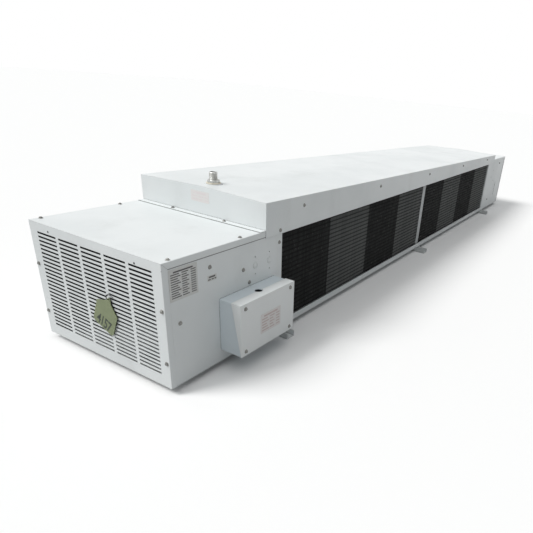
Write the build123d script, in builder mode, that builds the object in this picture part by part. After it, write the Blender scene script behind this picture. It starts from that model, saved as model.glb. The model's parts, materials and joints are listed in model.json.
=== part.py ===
"""Walk-in unit cooler, stored on its hanger rails with the drain pan on top.

Millimetres. X runs along the coil, from the louvred end (-X) to the plain end (+X).
The coil face looks towards -Y and the fans blow towards +Y. +Z is up as stored, so the
drain pan is on top and the rails that bolt to the ceiling are at the bottom. The origin is
the centre of the hanger bolt pattern, on the underside of the rails.
"""
import os
from math import asin, cos, pi, radians, sin

from build123d import *

os.makedirs("parts", exist_ok=True)

# ---------------------------------------------------------------- driving sizes
coil_length = 2438.4          # finned length
cabinet_depth = 533.4         # coil side to fan side
cabinet_height = 355.6
near_box_length = 475.0       # louvred compartment
far_box_length = 466.0        # plain compartment
sheet = 1.2                   # painted sheet metal
return_flange = 18.0          # side returns of the covers
lap_flange = 40.0             # returns that are screwed under the top covers
bend_radius = 2.0             # outside radius of a folded edge
seam = 0.4                    # gap between two folded edges

# hanger rails
rail_width = 38.0
rail_height = 20.0
rail_sheet = 2.0
rail_overhang = 52.0          # past the cabinet on each side
rail_outset = 12.0            # outer rails, outside the end of the coil
hanger_hole_diameter = 11.0
hanger_hole_edge = 20.0       # hole centre to rail end

# drain pan
pan_sheet = 1.5
pan_depth_near = 83.9         # pan roof above the cabinet, at the drain end
pan_depth_far = 31.9
pan_crease_rise = 7.0         # ridge of the shallow V above its sides
pan_apron = 22.4              # side walls, down over the cabinet
pan_lap_near = 85.6           # past the coil, over the near compartment
pan_lap_far = 130.0
pan_end_flange = 23.0

# drain connection
drain_inset = 64.0            # drain centre from the pan's near wall
nipple_diameter = 26.7
nipple_thread = 28.6          # threaded root, up to the locknut's face
nipple_bore = 20.9
nipple_height = 36.0          # above the drain seat
drain_seat_diameter = 58.0
gasket_diameter = 48.0
gasket_thickness = 3.0
gasket_sides = 24
locknut_flats = 36.0
locknut_thickness = 9.0
nipple_collar_diameter = 40.0
nipple_collar_thickness = 4.0
thread_clearance = 0.1

# coil
coil_headroom = 16.0            # least gap from the fins to the roof sheet
tube_pitch_high = 31.75
tube_rows_deep = 2
tube_pitch_deep = 38.1
tube_diameter = 12.7
tube_stub = 9.0               # straight tube past the fins
tube_sides = 6                # of the bends and stubs, inside the compartments
coil_setback = 8.0            # fins behind the cabinet's side plane
coil_lift = 19.0              # fins above the ceiling panel
coil_lap = 2.0                # ceiling panel's upstand over the lowest fins
fin_bundle = 67.7              # fins between two open gaps
fin_gap = 4.2
fin_gap_depth = 13.0           # to the first tubes
coil_plate = 1.6
coil_plate_flange = 20.0
divider_width = 36.0
header_diameter = 34.9
header_outset = 30.0          # header centre past the fins
header_margin = 14.0          # header past its last stub
connection_diameter = 20.3
connection_length = 60.0

# fans
fan_count = 4
fan_diameter = 300.0
fan_tip_gap = 6.0
venturi_lip = 8.0
venturi_length = 44.0
fan_hub_diameter = 58.0
fan_hub_length = 24.0
hub_sides = 16
blade_count = 4
blade_thickness = 1.6
blade_root_chord = 52.0
blade_tip_chord = 118.0
blade_pitch = 26.0            # degrees from the plane of rotation
blade_camber = 0.07           # rise of the arc over its chord
fan_setback = 32.0            # hub centre behind the fan panel's face
motor_diameter = 88.0
motor_length = 92.0
motor_sides = 20
motor_chamfer = 11.0
motor_pad = 62.0             # square pad behind the motor's face
motor_gap = 20.0              # hub to the bracket, clear of the blades
shaft_diameter = 8.0
shaft_clearance = 0.05
shaft_depth = 36.0
bearing_boss_diameter = 30.0
bearing_boss_length = 3.0
bracket_width = 30.0
bracket_sheet = 3.0
bracket_foot = 22.0
bracket_side_gap = 3.0        # bracket leg outside the venturi's lip
guard_wire = 3.5
guard_rise = 24.0
guard_margin = 1.5            # outer ring over the venturi's lip
guard_rings = 6
guard_sides = 8               # straight lengths in the two inner rings; twice as many in the rest

# louvred end cover
slot_columns = 5
slot_top_margin = 26.0          # least gap from the top row's centre to the cabinet top
slot_pitch = 12.0
slot_height = 5.4
slot_mullion = 11.7           # between columns
slot_margin = 35.7            # cabinet edge to the first column
slot_base = 38.0              # cabinet bottom to the centre of the lowest row

# coil-side panels
pilot_hole_diameter = 4.0
near_knockouts = (132.0, 65.0)     # back from the coil
knockout_height = 259.5            # above the cabinet bottom
pilot_spacing = 53.8
far_slot_height = 104.0
far_slot_width = 8.0
far_slot_setback = 306.0           # past the coil
far_slot_lift = 124.5
far_hole_diameter = 7.0
far_holes = ((183.0, 272.6), (140.8, 229.4), (224.6, 194.2))   # past the coil, above the bottom

# junction box on the near compartment
box_length = 247.0
box_height = 163.0
box_depth = 78.0
box_sheet = 1.5
box_setback = 40.5            # box end back from the coil
box_lift = 37.9
conduit_diameter = 22.2
conduit_setback = 119.0       # hole centre from the box's near end
conduit_outset = 42.5         # hole centre from the side panel
box_cover_lip = 10.0
cover_return = 33.0           # at the top; it tapers to nothing at the bottom
conduit_notch = 1.5           # round the conduit hole
terminal_length = 110.0
terminal_height = 30.0
terminal_depth = 26.0
terminal_poles = 6
terminal_slot = 3.0

# hang tag on the louvres
tie_radius = 7.5
tie_wire = 1.8
tie_outset = 4.0
tie_clearance = 0.3
tag_row = 14                  # the bar above this row carries the tie
tie_edge_gap = 2.8             # tie to the mullion beside it
tag_thickness = 1.5
tag_hole_diameter = 5.0
tag_crown = 4.25              # hole centre to the tip of the neck
tag_neck_width = 22.0
tag_neck_length = 27.0
tag_width = 84.0
tag_length = 112.0
tag_swing = 24.0              # degrees from hanging straight

# hexagonal head screws
screw_flats = 9.0
screw_head = 4.0
screw_edge = 10.8             # cabinet screws in from the folded edges
near_roof_screws = (30.0, 288.0)      # in from the end cover
near_side_screws = ((185.6, 259.8), (160.0, 213.4), (430.0, 181.4))    # back from the coil, above the bottom
near_upper_screws = ((318.0, 50.6), (16.2, 49.6))    # back from the coil, below the top
far_side_screw = (142.0, 64.0)        # past the coil, above the bottom
far_upper_screw = (314.0, 39.6)       # past the coil, below the top
end_screw_low = 76.0          # above the cabinet bottom
end_screw_high = 227.6
pan_screw_shares = (0.0742, 0.287, 0.501, 0.714, 0.92)    # of the pan's length
pan_screw_drop_near = 33.0    # below the pan's edge, drain end
pan_screw_drop_far = 19.0
pan_end_screw_half = 112.0    # either side of the middle
box_screw_inset = 19.2
box_screw_rise = 13.4

# ---------------------------------------------------------------- places
coil_end = coil_length / 2
near_x = -coil_end - near_box_length
far_x = coil_end + far_box_length
side_y = cabinet_depth / 2
base_z = rail_height
top_z = base_z + cabinet_height
panel_y = side_y - sheet              # outer face of the inset side panels
floor_z = base_z + sheet              # inside face of the ceiling panel
roof_z = top_z - sheet                # underside of the top covers
pan_near_x = -coil_end - pan_lap_near
pan_far_x = coil_end + pan_lap_far
pan_side_y = side_y + pan_sheet
apron_z = top_z - pan_apron
pan_slope = (pan_depth_near - pan_depth_far) / (pan_far_x - pan_near_x)
fin_z = floor_z + coil_lift
tube_rows_high = int((roof_z - coil_headroom - fin_z) // tube_pitch_high)
fin_height = tube_rows_high * tube_pitch_high
fin_depth = tube_rows_deep * tube_pitch_deep
fin_y = -side_y + coil_setback
coil_back_y = fin_y + fin_depth
fan_pitch = coil_length / fan_count
fan_radius = fan_diameter / 2
venturi_radius = fan_radius + fan_tip_gap
fan_z = (floor_z + apron_z) / 2
fan_y = side_y - fan_setback
guard_radius = venturi_radius + venturi_lip + guard_margin
motor_face_y = fan_y - fan_hub_length / 2 - motor_gap - bearing_boss_length
bracket_half = venturi_radius + venturi_lip + bracket_side_gap
slot_length = (cabinet_depth - 2 * slot_margin - (slot_columns - 1) * slot_mullion) / slot_columns
slot_rows = 1 + int((cabinet_height - slot_base - slot_top_margin) // slot_pitch)
tag_offset = slot_length / 2 + slot_mullion + tie_edge_gap      # towards the coil side


def fan_centres():
    return [(i - (fan_count - 1) / 2) * fan_pitch for i in range(fan_count)]


def finish(name, part):
    """Label a finished piece and write it under its own name."""
    part.label = name
    export_step(part, f"parts/{name}.step")


# ---------------------------------------------------------------- covers
def end_cover(name, face_x, inward, slotted):
    """A tray over the end of the cabinet: its returns lap the side panels."""
    flange_x = face_x + inward * return_flange
    with BuildPart() as cover:
        with BuildSketch(Plane.XY.offset(floor_z)):
            with Locations((face_x + inward * return_flange / 2, 0)):
                Rectangle(return_flange, cabinet_depth)
        extrude(amount=roof_z - floor_z)
        corners = edges().filter_by(Axis.Z).group_by(Axis.X)[0 if inward > 0 else -1]
        fillet(corners, bend_radius)
        with BuildSketch(Plane.XY.offset(floor_z + sheet)):
            with Locations((face_x + inward * (sheet + return_flange), 0)):
                Rectangle(2 * return_flange, cabinet_depth - 2 * sheet)
        extrude(amount=roof_z - floor_z - 2 * sheet, mode=Mode.SUBTRACT)
        # the lap under the top cover is deeper than the side returns
        with BuildSketch(Plane.XY.offset(roof_z - sheet)):
            with Locations((face_x + inward * (return_flange + lap_flange) / 2, 0)):
                Rectangle(lap_flange - return_flange, cabinet_depth - 2 * sheet)
        extrude(amount=sheet)
        # mitred corners where the side returns meet those of the top cover
        for side_plane in (Plane.XZ.offset(-side_y), Plane.XZ.offset(side_y - sheet)):
            with BuildSketch(side_plane):
                with BuildLine():
                    Polyline(
                        (face_x, top_z - seam),
                        (flange_x, top_z - seam - return_flange),
                        (flange_x, top_z),
                        (face_x, top_z),
                        close=True,
                    )
                make_face()
            extrude(amount=sheet, mode=Mode.SUBTRACT)
        if slotted:
            row_centre = base_z + slot_base + (slot_rows - 1) * slot_pitch / 2
            with BuildSketch(Plane.YZ.offset(face_x)):
                with Locations((0, row_centre)):
                    with GridLocations(slot_length + slot_mullion, slot_pitch, slot_columns, slot_rows):
                        Rectangle(slot_length, slot_height)
            extrude(amount=inward * sheet, mode=Mode.SUBTRACT)
    finish(name, cover.part)


def top_cover(name, face_x, inward, inner_x):
    """The roof of a compartment, with returns over both side panels."""
    length = abs(inner_x - face_x)
    with BuildPart() as cover:
        with BuildSketch(Plane.XY.offset(roof_z)):
            with Locations(((face_x + inner_x) / 2, 0)):
                Rectangle(length, cabinet_depth)
        extrude(amount=sheet)
        for side_plane in (Plane.XZ.offset(-side_y), Plane.XZ.offset(side_y - sheet)):
            with BuildSketch(side_plane):
                with BuildLine():
                    Polyline(
                        (face_x + inward * sheet, top_z - sheet),
                        (face_x + inward * return_flange, top_z - return_flange),
                        (inner_x, top_z - return_flange),
                        (inner_x, top_z - sheet),
                        (face_x + inward * sheet, top_z - sheet),
                    )
                make_face()
            extrude(amount=sheet)
        fillet(edges().filter_by(Axis.X).group_by(Axis.Z)[-1], bend_radius)
    finish(name, cover.part)


# ---------------------------------------------------------------- side panels
def side_panel(name, outer_x, coil_side, openings=None):
    """A panel between an end cover and the coil, with a flange against the coil plate."""
    inward = 1 if outer_x < 0 else -1
    end_x = outer_x + inward * sheet
    coil_x = -inward * (coil_end + coil_plate)
    outer_y = -panel_y if coil_side else panel_y
    inner = 1 if coil_side else -1
    with BuildPart() as panel:
        with BuildSketch(Plane.XY.offset(floor_z)):
            with Locations(((end_x + coil_x) / 2, outer_y + inner * sheet / 2)):
                Rectangle(abs(coil_x - end_x), sheet)
            with Locations((coil_x - inward * sheet / 2, outer_y + inner * return_flange / 2)):
                Rectangle(sheet, return_flange)
        extrude(amount=roof_z - floor_z)
        # corner notches clear the laps of the end cover
        with BuildSketch(Plane.XZ.offset(-outer_y if inner < 0 else -outer_y - sheet)):
            with Locations((end_x + inward * lap_flange / 2, roof_z - sheet / 2)):
                Rectangle(lap_flange, sheet)
            with Locations((end_x + inward * return_flange / 2, floor_z + sheet / 2)):
                Rectangle(return_flange, sheet)
        extrude(amount=sheet, mode=Mode.SUBTRACT)
        if openings:
            add(openings, mode=Mode.SUBTRACT)
    finish(name, panel.part)


def near_panel_openings():
    """A pair of pilot holes above and below each knockout."""
    centre_z = base_z + knockout_height
    with BuildPart() as cuts:
        for setback in near_knockouts:
            with BuildSketch(Plane.XZ.offset(panel_y)):
                with Locations((-coil_end - setback, centre_z)):
                    with GridLocations(0, pilot_spacing, 1, 2):
                        Circle(pilot_hole_diameter / 2)
            extrude(amount=-sheet)
    return cuts.part


def far_panel_openings():
    """The cuts of a tall slot and three holes, left for the refrigerant lines' clips."""
    slot_x = coil_end + far_slot_setback
    slot_z = base_z + far_slot_lift
    with BuildPart() as cuts:
        with BuildSketch(Plane.XZ.offset(panel_y)):
            with Locations((slot_x, slot_z)):
                SlotOverall(far_slot_height, far_slot_width, rotation=90)
            for run, rise in far_holes:
                with Locations((coil_end + run, base_z + rise)):
                    Circle(far_hole_diameter / 2)
        extrude(amount=-sheet)
    return cuts.part


# ---------------------------------------------------------------- ceiling panel
def ceiling_panel():
    """The sheet that faces the ceiling in use, folded up below the coil."""
    with BuildPart() as panel:
        with BuildSketch(Plane.XY.offset(base_z)):
            with Locations(((near_x + far_x) / 2, 0)):
                Rectangle(far_x - near_x, cabinet_depth)
        extrude(amount=sheet)
        with BuildSketch(Plane.XY.offset(base_z)):
            with Locations((0, -side_y + sheet / 2)):
                Rectangle(coil_length, sheet)
        extrude(amount=sheet + coil_lift + coil_lap)
    finish("ceiling_panel", panel.part)


# ---------------------------------------------------------------- fan panel
def venturi_ring():
    """A collar with a flared mouth, turned about its own axis."""
    r = venturi_radius
    lip = venturi_lip
    with BuildPart() as ring:
        with BuildSketch(Plane.XY):
            with BuildLine():
                Polyline(
                    (r + lip, 0),
                    (r, -lip),
                    (r, -venturi_length),
                    (r + sheet, -venturi_length),
                    (r + sheet, -lip - sheet / 2),
                    (r + lip, -sheet),
                    close=True,
                )
            make_face()
        revolve(axis=Axis.Y)
    return ring.part


def fan_panel():
    """The air-off sheet, drawn into a venturi for each fan."""
    ring = venturi_ring()
    with BuildPart() as panel:
        with BuildSketch(Plane.XZ.offset(-side_y)):
            with Locations((0, (floor_z + roof_z) / 2)):
                Rectangle(coil_length + 2 * coil_plate, roof_z - floor_z)
            for x in fan_centres():
                with Locations((x, fan_z)):
                    Circle(venturi_radius + venturi_lip, mode=Mode.SUBTRACT)
        extrude(amount=sheet)
        for x in fan_centres():
            with Locations((x, side_y, fan_z)):
                add(ring)
    finish("fan_panel", panel.part)


# ---------------------------------------------------------------- fans
def fan_guard(name, x):
    """A domed guard: concentric rings of straight lengths, carried by two crossed bars."""
    face_y = side_y
    with BuildPart() as guard:
        for i in range(guard_rings):
            share = (i + 1) / guard_rings
            radius = guard_radius * share
            sides = guard_sides if i < 2 else 2 * guard_sides
            height = guard_rise * (1 - share**2)
            with BuildSketch(Plane.XZ.offset(-face_y - height)):
                with Locations((x, fan_z)):
                    RegularPolygon(radius, sides, rotation=180 / sides)
                    RegularPolygon(radius - guard_wire, sides, rotation=180 / sides, mode=Mode.SUBTRACT)
            extrude(amount=-guard_wire)
        shares = [i / guard_rings for i in range(-guard_rings, guard_rings + 1, 2)]
        rise = [(share, guard_rise * (1 - share**2)) for share in shares]
        span = guard_radius - guard_wire
        under = [(x + share * span, face_y + height) for share, height in rise]
        over = [(px, py + guard_wire) for px, py in reversed(under)]
        with BuildSketch(Plane.XY.offset(fan_z - guard_wire / 2)):
            with BuildLine():
                Polyline(*under, *over, close=True)
            make_face()
        bar = extrude(amount=guard_wire)
        add(bar.rotate(Axis((x, face_y, fan_z), (0, 1, 0)), 90))
    finish(name, guard.part)


def pressed_blade():
    """One cambered, pitched blade along +X, trimmed to its outline by a straight cut."""
    root = fan_hub_diameter / 2 * cos(pi / hub_sides) - blade_thickness
    under = [
        (run * blade_tip_chord, (1 - 4 * run**2) * blade_camber * blade_tip_chord)
        for run in (-0.5, -0.2, 0.2, 0.5)
    ]
    over = [(along, up + blade_thickness) for along, up in reversed(under)]
    root_half = blade_root_chord / 2
    swept = asin(blade_tip_chord / 2 * cos(radians(blade_pitch)) / fan_radius)
    tip = (fan_radius * cos(swept), fan_radius * sin(swept))
    with BuildPart() as blade:
        with BuildSketch(Plane.YZ.offset(root)):
            with BuildLine():
                Polyline(*under, *over, close=True)
            make_face()
        extrude(amount=fan_radius - root)
    pressed = blade.part.rotate(Axis.X, blade_pitch)
    with BuildPart() as trimmed:
        add(pressed)
        with BuildSketch(Plane.XY.offset(-blade_tip_chord)):
            with BuildLine():
                Line((tip[0], -tip[1]), (root, -root_half))
                Line((root, -root_half), (root, root_half))
                Line((root, root_half), tip)
                ThreePointArc(tip, (fan_radius, 0), (tip[0], -tip[1]))
            make_face()
        extrude(amount=2 * blade_tip_chord, mode=Mode.INTERSECT)
    return trimmed.part


def fan_blade(name, x):
    """A hub with pitched blades; its shaft runs in the motor's bearing."""
    hub_radius = fan_hub_diameter / 2
    blade = pressed_blade()
    with BuildPart() as fan:
        with BuildSketch(Plane.XY.offset(-fan_hub_length / 2)):
            RegularPolygon(hub_radius, hub_sides, rotation=180 / hub_sides)
        extrude(amount=fan_hub_length)
        chamfer(edges().group_by(Axis.Z)[-1], 2 * blade_thickness)
        with PolarLocations(0, blade_count):
            add(blade)
        with BuildSketch(Plane.XY.offset(-fan_hub_length / 2 - motor_gap - shaft_depth)):
            Circle(shaft_diameter / 2)
        extrude(amount=motor_gap + shaft_depth)
    placed = Pos(x, fan_y, fan_z) * Rot(-90, 0, 0) * fan.part
    finish(name, placed)


def fan_motor(name, x):
    """A totally enclosed motor with a ribbed shell and a blind bearing bore."""
    with BuildPart() as motor:
        with BuildSketch(Plane.XZ):
            RegularPolygon(motor_diameter / 2, motor_sides, rotation=180 / motor_sides)
        extrude(amount=motor_length)
        chamfer(edges().group_by(Axis.Y)[0], motor_chamfer)
        with BuildSketch(Plane.XZ):
            RegularPolygon(bearing_boss_diameter / 2, 12)
        extrude(amount=-bearing_boss_length)
        with BuildSketch(Plane.XZ.offset(-bearing_boss_length)):
            Circle(shaft_diameter / 2 + shaft_clearance)
        extrude(amount=shaft_depth + bearing_boss_length, mode=Mode.SUBTRACT)
    placed = Pos(x, motor_face_y, fan_z) * motor.part
    finish(name, placed)


def motor_bracket(name, x):
    """A folded strap behind the venturi; the motor's face is bolted to its web."""
    web_y = motor_face_y
    foot_y = side_y - sheet
    half = bracket_half
    with BuildPart() as bracket:
        with BuildSketch(Plane.XY.offset(fan_z - bracket_width / 2)):
            with BuildLine():
                Polyline(
                    (x - half - bracket_foot, foot_y),
                    (x - half - bracket_foot, foot_y - bracket_sheet),
                    (x - half - bracket_sheet, foot_y - bracket_sheet),
                    (x - half - bracket_sheet, web_y),
                    (x + half + bracket_sheet, web_y),
                    (x + half + bracket_sheet, foot_y - bracket_sheet),
                    (x + half + bracket_foot, foot_y - bracket_sheet),
                    (x + half + bracket_foot, foot_y),
                    (x + half, foot_y),
                    (x + half, web_y + bracket_sheet),
                    (x - half, web_y + bracket_sheet),
                    (x - half, foot_y),
                    (x - half - bracket_foot, foot_y),
                )
            make_face()
        extrude(amount=bracket_width)
        # a square pad carries the motor, with a hole for its bearing boss
        with BuildSketch(Plane.XZ.offset(-web_y)):
            with Locations((x, fan_z)):
                Rectangle(motor_pad, motor_pad)
        extrude(amount=-bracket_sheet)
        with BuildSketch(Plane.XZ.offset(-web_y)):
            with Locations((x, fan_z)):
                RegularPolygon(bearing_boss_diameter / 2 + seam, 12, major_radius=False)
        extrude(amount=-bracket_sheet, mode=Mode.SUBTRACT)
    finish(name, bracket.part)


def fan_baffle(name, x):
    """A folded partition between two fan bays."""
    with BuildPart() as baffle:
        with BuildSketch(Plane.XY.offset(floor_z)):
            with Locations((x, (coil_back_y + panel_y) / 2)):
                Rectangle(sheet, panel_y - coil_back_y)
            with Locations((x + return_flange / 2, panel_y - sheet / 2)):
                Rectangle(return_flange, sheet)
        extrude(amount=apron_z - floor_z)
    finish(name, baffle.part)


# ---------------------------------------------------------------- coil
def fin_block(name, side):
    """One half of the finned coil, up to the centre plate, parted into bundles down to its tubes."""
    inner = coil_plate / 2
    gaps = int((coil_end - inner) // fin_bundle) - 1
    with BuildPart() as block:
        with BuildSketch(Plane.XY.offset(fin_z)):
            with Locations((side * (inner + coil_end) / 2, fin_y + fin_depth / 2)):
                Rectangle(coil_end - inner, fin_depth)
        extrude(amount=fin_height)
        for face_y, inward in ((fin_y, -1), (coil_back_y, 1)):
            with BuildSketch(Plane.XZ.offset(-face_y)):
                with Locations((side * (inner + coil_end) / 2, fin_z + fin_height / 2)):
                    with GridLocations(fin_bundle, 0, gaps, 1):
                        Rectangle(fin_gap, fin_height)
            extrude(amount=inward * fin_gap_depth, mode=Mode.SUBTRACT)
    finish(name, block.part)


def tube_heights():
    return [fin_z + (i + 0.5) * tube_pitch_high for i in range(tube_rows_high)]


def coil_plate_end(name, side):
    """The plate at the end of the fins, windowed round the tube ends."""
    inner_x = side * coil_end
    window_y = fin_depth - tube_pitch_deep / 2
    window_z = fin_height - tube_pitch_high / 2
    with BuildPart() as plate:
        with BuildSketch(Plane.YZ.offset(inner_x)):
            with Locations((fin_y + fin_depth / 2, (floor_z + apron_z) / 2)):
                Rectangle(fin_depth, apron_z - floor_z)
            with Locations((fin_y + fin_depth / 2, fin_z + fin_height / 2)):
                Rectangle(window_y, window_z, mode=Mode.SUBTRACT)
        extrude(amount=side * coil_plate)
        with BuildSketch(Plane.XY.offset(floor_z)):
            with Locations((inner_x + side * coil_plate_flange / 2, coil_back_y + coil_plate / 2)):
                Rectangle(coil_plate_flange, coil_plate)
        extrude(amount=apron_z - floor_z)
    finish(name, plate.part)


def coil_plate_centre():
    """The middle support; its folded front edge is the strip between the halves."""
    with BuildPart() as plate:
        with BuildSketch(Plane.XY.offset(floor_z)):
            with Locations((0, fin_y + fin_depth / 2)):
                Rectangle(coil_plate, fin_depth)
        extrude(amount=apron_z - floor_z)
        with BuildSketch(Plane.XY.offset(floor_z)):
            with Locations((0, fin_y - coil_plate / 2)):
                Rectangle(divider_width, coil_plate)
        extrude(amount=apron_z - floor_z)
    finish("coil_plate_centre", plate.part)


def hairpins():
    """Return bends that join the front and rear tubes at the louvred end."""
    reach = tube_pitch_deep / 2
    middle_y = fin_y + fin_depth / 2
    turns = [radians(angle) for angle in (90, 54, 18, -18, -54, -90)]
    with BuildPart() as bends:
        for z in tube_heights():
            bend = [(-coil_end - tube_stub - reach * cos(a), middle_y - reach * sin(a), z) for a in turns]
            with BuildLine() as path:
                Polyline((-coil_end, middle_y - reach, z), *bend, (-coil_end, middle_y + reach, z))
            with BuildSketch(Plane(origin=(-coil_end, middle_y - reach, z), z_dir=(-1, 0, 0))):
                RegularPolygon(tube_diameter / 2, tube_sides)
            sweep(path=path.wires()[0], transition=Transition.RIGHT)
    finish("coil_hairpins", bends.part)


def header(name, column, toward):
    """An upright header fed by one stub for each tube, with its connection at the top."""
    y = fin_y + (column + 0.5) * tube_pitch_deep
    x = coil_end + header_outset
    offset_y = y + toward * (header_diameter - tube_pitch_deep + tube_diameter) / 2
    low = tube_heights()[0] - header_margin
    high = tube_heights()[-1] + header_margin
    connection_z = tube_heights()[1] + tube_pitch_high / 2
    with BuildPart() as pipe:
        with BuildSketch(Plane.XY.offset(low)):
            with Locations((x, offset_y)):
                RegularPolygon(header_diameter / 2, 12)
        extrude(amount=high - low)
        with BuildSketch(Plane.YZ.offset(coil_end)):
            for z in tube_heights():
                with Locations((y, z)):
                    RegularPolygon(tube_diameter / 2, tube_sides)
        extrude(amount=header_outset)
        with BuildSketch(Plane.YZ.offset(x)):
            with Locations((offset_y, connection_z)):
                Circle(connection_diameter / 2)
        extrude(amount=header_diameter / 2 + connection_length)
    finish(name, pipe.part)


# ---------------------------------------------------------------- drain pan
def pan_roof(x, y_share=0.0):
    """Height of the pan's roof: sloped along X, with a ridge over the middle."""
    return top_z + pan_depth_near - pan_slope * (x - pan_near_x) + pan_crease_rise * (1 - y_share)


def pan_body(inset):
    """The pan as a solid block, or its inside when inset by the sheet."""
    half = pan_side_y - inset
    drop = pan_crease_rise * (pan_side_y - half) / pan_side_y
    sections = []
    for x in (pan_near_x + inset, pan_far_x - inset):
        ridge = pan_roof(x) - inset
        edge = pan_roof(x, 1.0) + drop - inset
        with BuildSketch(Plane.YZ.offset(x)) as section:
            with BuildLine():
                Polyline(
                    (-half, apron_z - inset),
                    (-half, edge),
                    (0, ridge),
                    (half, edge),
                    (half, apron_z - inset),
                    close=True,
                )
            make_face()
        sections.append(section.sketch)
    return sections


def drain_pan():
    """A tray with a creased, sloping roof, side aprons and an end flange."""
    drain_x = pan_near_x + drain_inset
    seat_z = pan_roof(drain_x) + pan_slope * drain_seat_diameter / 2
    seat_low = pan_roof(drain_x, drain_seat_diameter / 2 / pan_side_y) - pan_sheet
    seat_low -= pan_slope * drain_seat_diameter / 2
    with BuildPart() as pan:
        loft(pan_body(0.0), ruled=True)
        loft(pan_body(pan_sheet), ruled=True, mode=Mode.SUBTRACT)
        # the end walls stop on top of the cabinet, between the aprons
        with BuildSketch(Plane.XY.offset(apron_z - pan_sheet)):
            with Locations(((pan_near_x + pan_far_x) / 2, 0)):
                Rectangle(pan_far_x - pan_near_x + 2 * pan_end_flange, 2 * side_y)
        extrude(amount=top_z - apron_z + pan_sheet, mode=Mode.SUBTRACT)
        with BuildSketch(Plane.XY.offset(top_z)):
            with Locations((pan_near_x - pan_end_flange / 2 + pan_sheet / 2, 0)):
                Rectangle(pan_end_flange + pan_sheet, 2 * side_y)
            with Locations((pan_far_x - (pan_sheet + return_flange) / 2, 0)):
                Rectangle(pan_sheet + return_flange, 2 * side_y)
        extrude(amount=pan_sheet)
        # the drain stands on a flat round seat
        with BuildSketch(Plane.XY.offset(seat_low)):
            with Locations((drain_x, 0)):
                Circle(drain_seat_diameter / 2)
        extrude(amount=seat_z - seat_low)
        with BuildSketch(Plane.XY.offset(seat_low)):
            with Locations((drain_x, 0)):
                Circle(nipple_thread / 2 + thread_clearance)
        extrude(amount=seat_z - seat_low, mode=Mode.SUBTRACT)
    finish("drain_pan", pan.part)
    return drain_x, seat_low, seat_z


def drain_fitting(drain_x, seat_low, seat_z):
    """Nipple, gasket and locknut, clamped through the drain seat."""
    clamp_z = seat_z + gasket_thickness + locknut_thickness
    nipple_end_z = seat_z + nipple_height
    with BuildPart() as nipple:
        with BuildSketch(Plane.XY.offset(seat_low - nipple_collar_thickness)):
            with Locations((drain_x, 0)):
                RegularPolygon(nipple_collar_diameter / 2, 6)
        extrude(amount=nipple_collar_thickness)
        with BuildSketch(Plane.XY.offset(seat_low)):
            with Locations((drain_x, 0)):
                Circle(nipple_thread / 2)
        extrude(amount=clamp_z - seat_low)
        with BuildSketch(Plane.XY.offset(clamp_z)):
            with Locations((drain_x, 0)):
                Circle(nipple_diameter / 2)
        extrude(amount=nipple_end_z - clamp_z)
        with BuildSketch(Plane.XY.offset(seat_low - nipple_collar_thickness)):
            with Locations((drain_x, 0)):
                Circle(nipple_bore / 2)
        extrude(amount=nipple_end_z - seat_low + nipple_collar_thickness, mode=Mode.SUBTRACT)
    finish("drain_nipple", nipple.part)

    with BuildPart() as gasket:
        with BuildSketch(Plane.XY.offset(seat_z)):
            with Locations((drain_x, 0)):
                RegularPolygon(gasket_diameter / 2, gasket_sides)
                RegularPolygon(
                    nipple_thread / 2 + thread_clearance, gasket_sides,
                    major_radius=False, mode=Mode.SUBTRACT,
                )
        extrude(amount=gasket_thickness)
    finish("drain_gasket", gasket.part)

    with BuildPart() as locknut:
        with BuildSketch(Plane.XY.offset(seat_z + gasket_thickness)):
            with Locations((drain_x, 0)):
                RegularPolygon(locknut_flats / 2, 6, major_radius=False)
        extrude(amount=locknut_thickness)
        with BuildSketch(Plane.XY.offset(seat_z + gasket_thickness)):
            with Locations((drain_x, 0)):
                Circle(nipple_thread / 2 + thread_clearance)
        extrude(amount=locknut_thickness, mode=Mode.SUBTRACT)
    finish("drain_locknut", locknut.part)


# ---------------------------------------------------------------- hanger rails
def hanger_rail(name, x):
    """A U channel across the unit, its web on the ceiling side, holed at both ends."""
    length = cabinet_depth + 2 * rail_overhang
    hole_spacing = length - 2 * hanger_hole_edge
    with BuildPart() as rail:
        with BuildSketch(Plane.XY):
            with Locations((x, 0)):
                Rectangle(rail_width, length)
        extrude(amount=rail_height)
        with BuildSketch(Plane.XY.offset(rail_sheet)):
            with Locations((x, 0)):
                Rectangle(rail_width - 2 * rail_sheet, length)
        extrude(amount=rail_height - rail_sheet, mode=Mode.SUBTRACT)
        with BuildSketch(Plane.XY):
            with Locations((x, 0)):
                with GridLocations(0, hole_spacing, 1, 2):
                    Circle(hanger_hole_diameter / 2)
        extrude(amount=rail_sheet, mode=Mode.SUBTRACT)
    finish(name, rail.part)


# ---------------------------------------------------------------- junction box
box_far_x = -coil_end - box_setback
box_near_x = box_far_x - box_length
box_low_z = base_z + box_lift
box_high_z = box_low_z + box_height
box_front_y = -panel_y - box_depth


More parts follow.
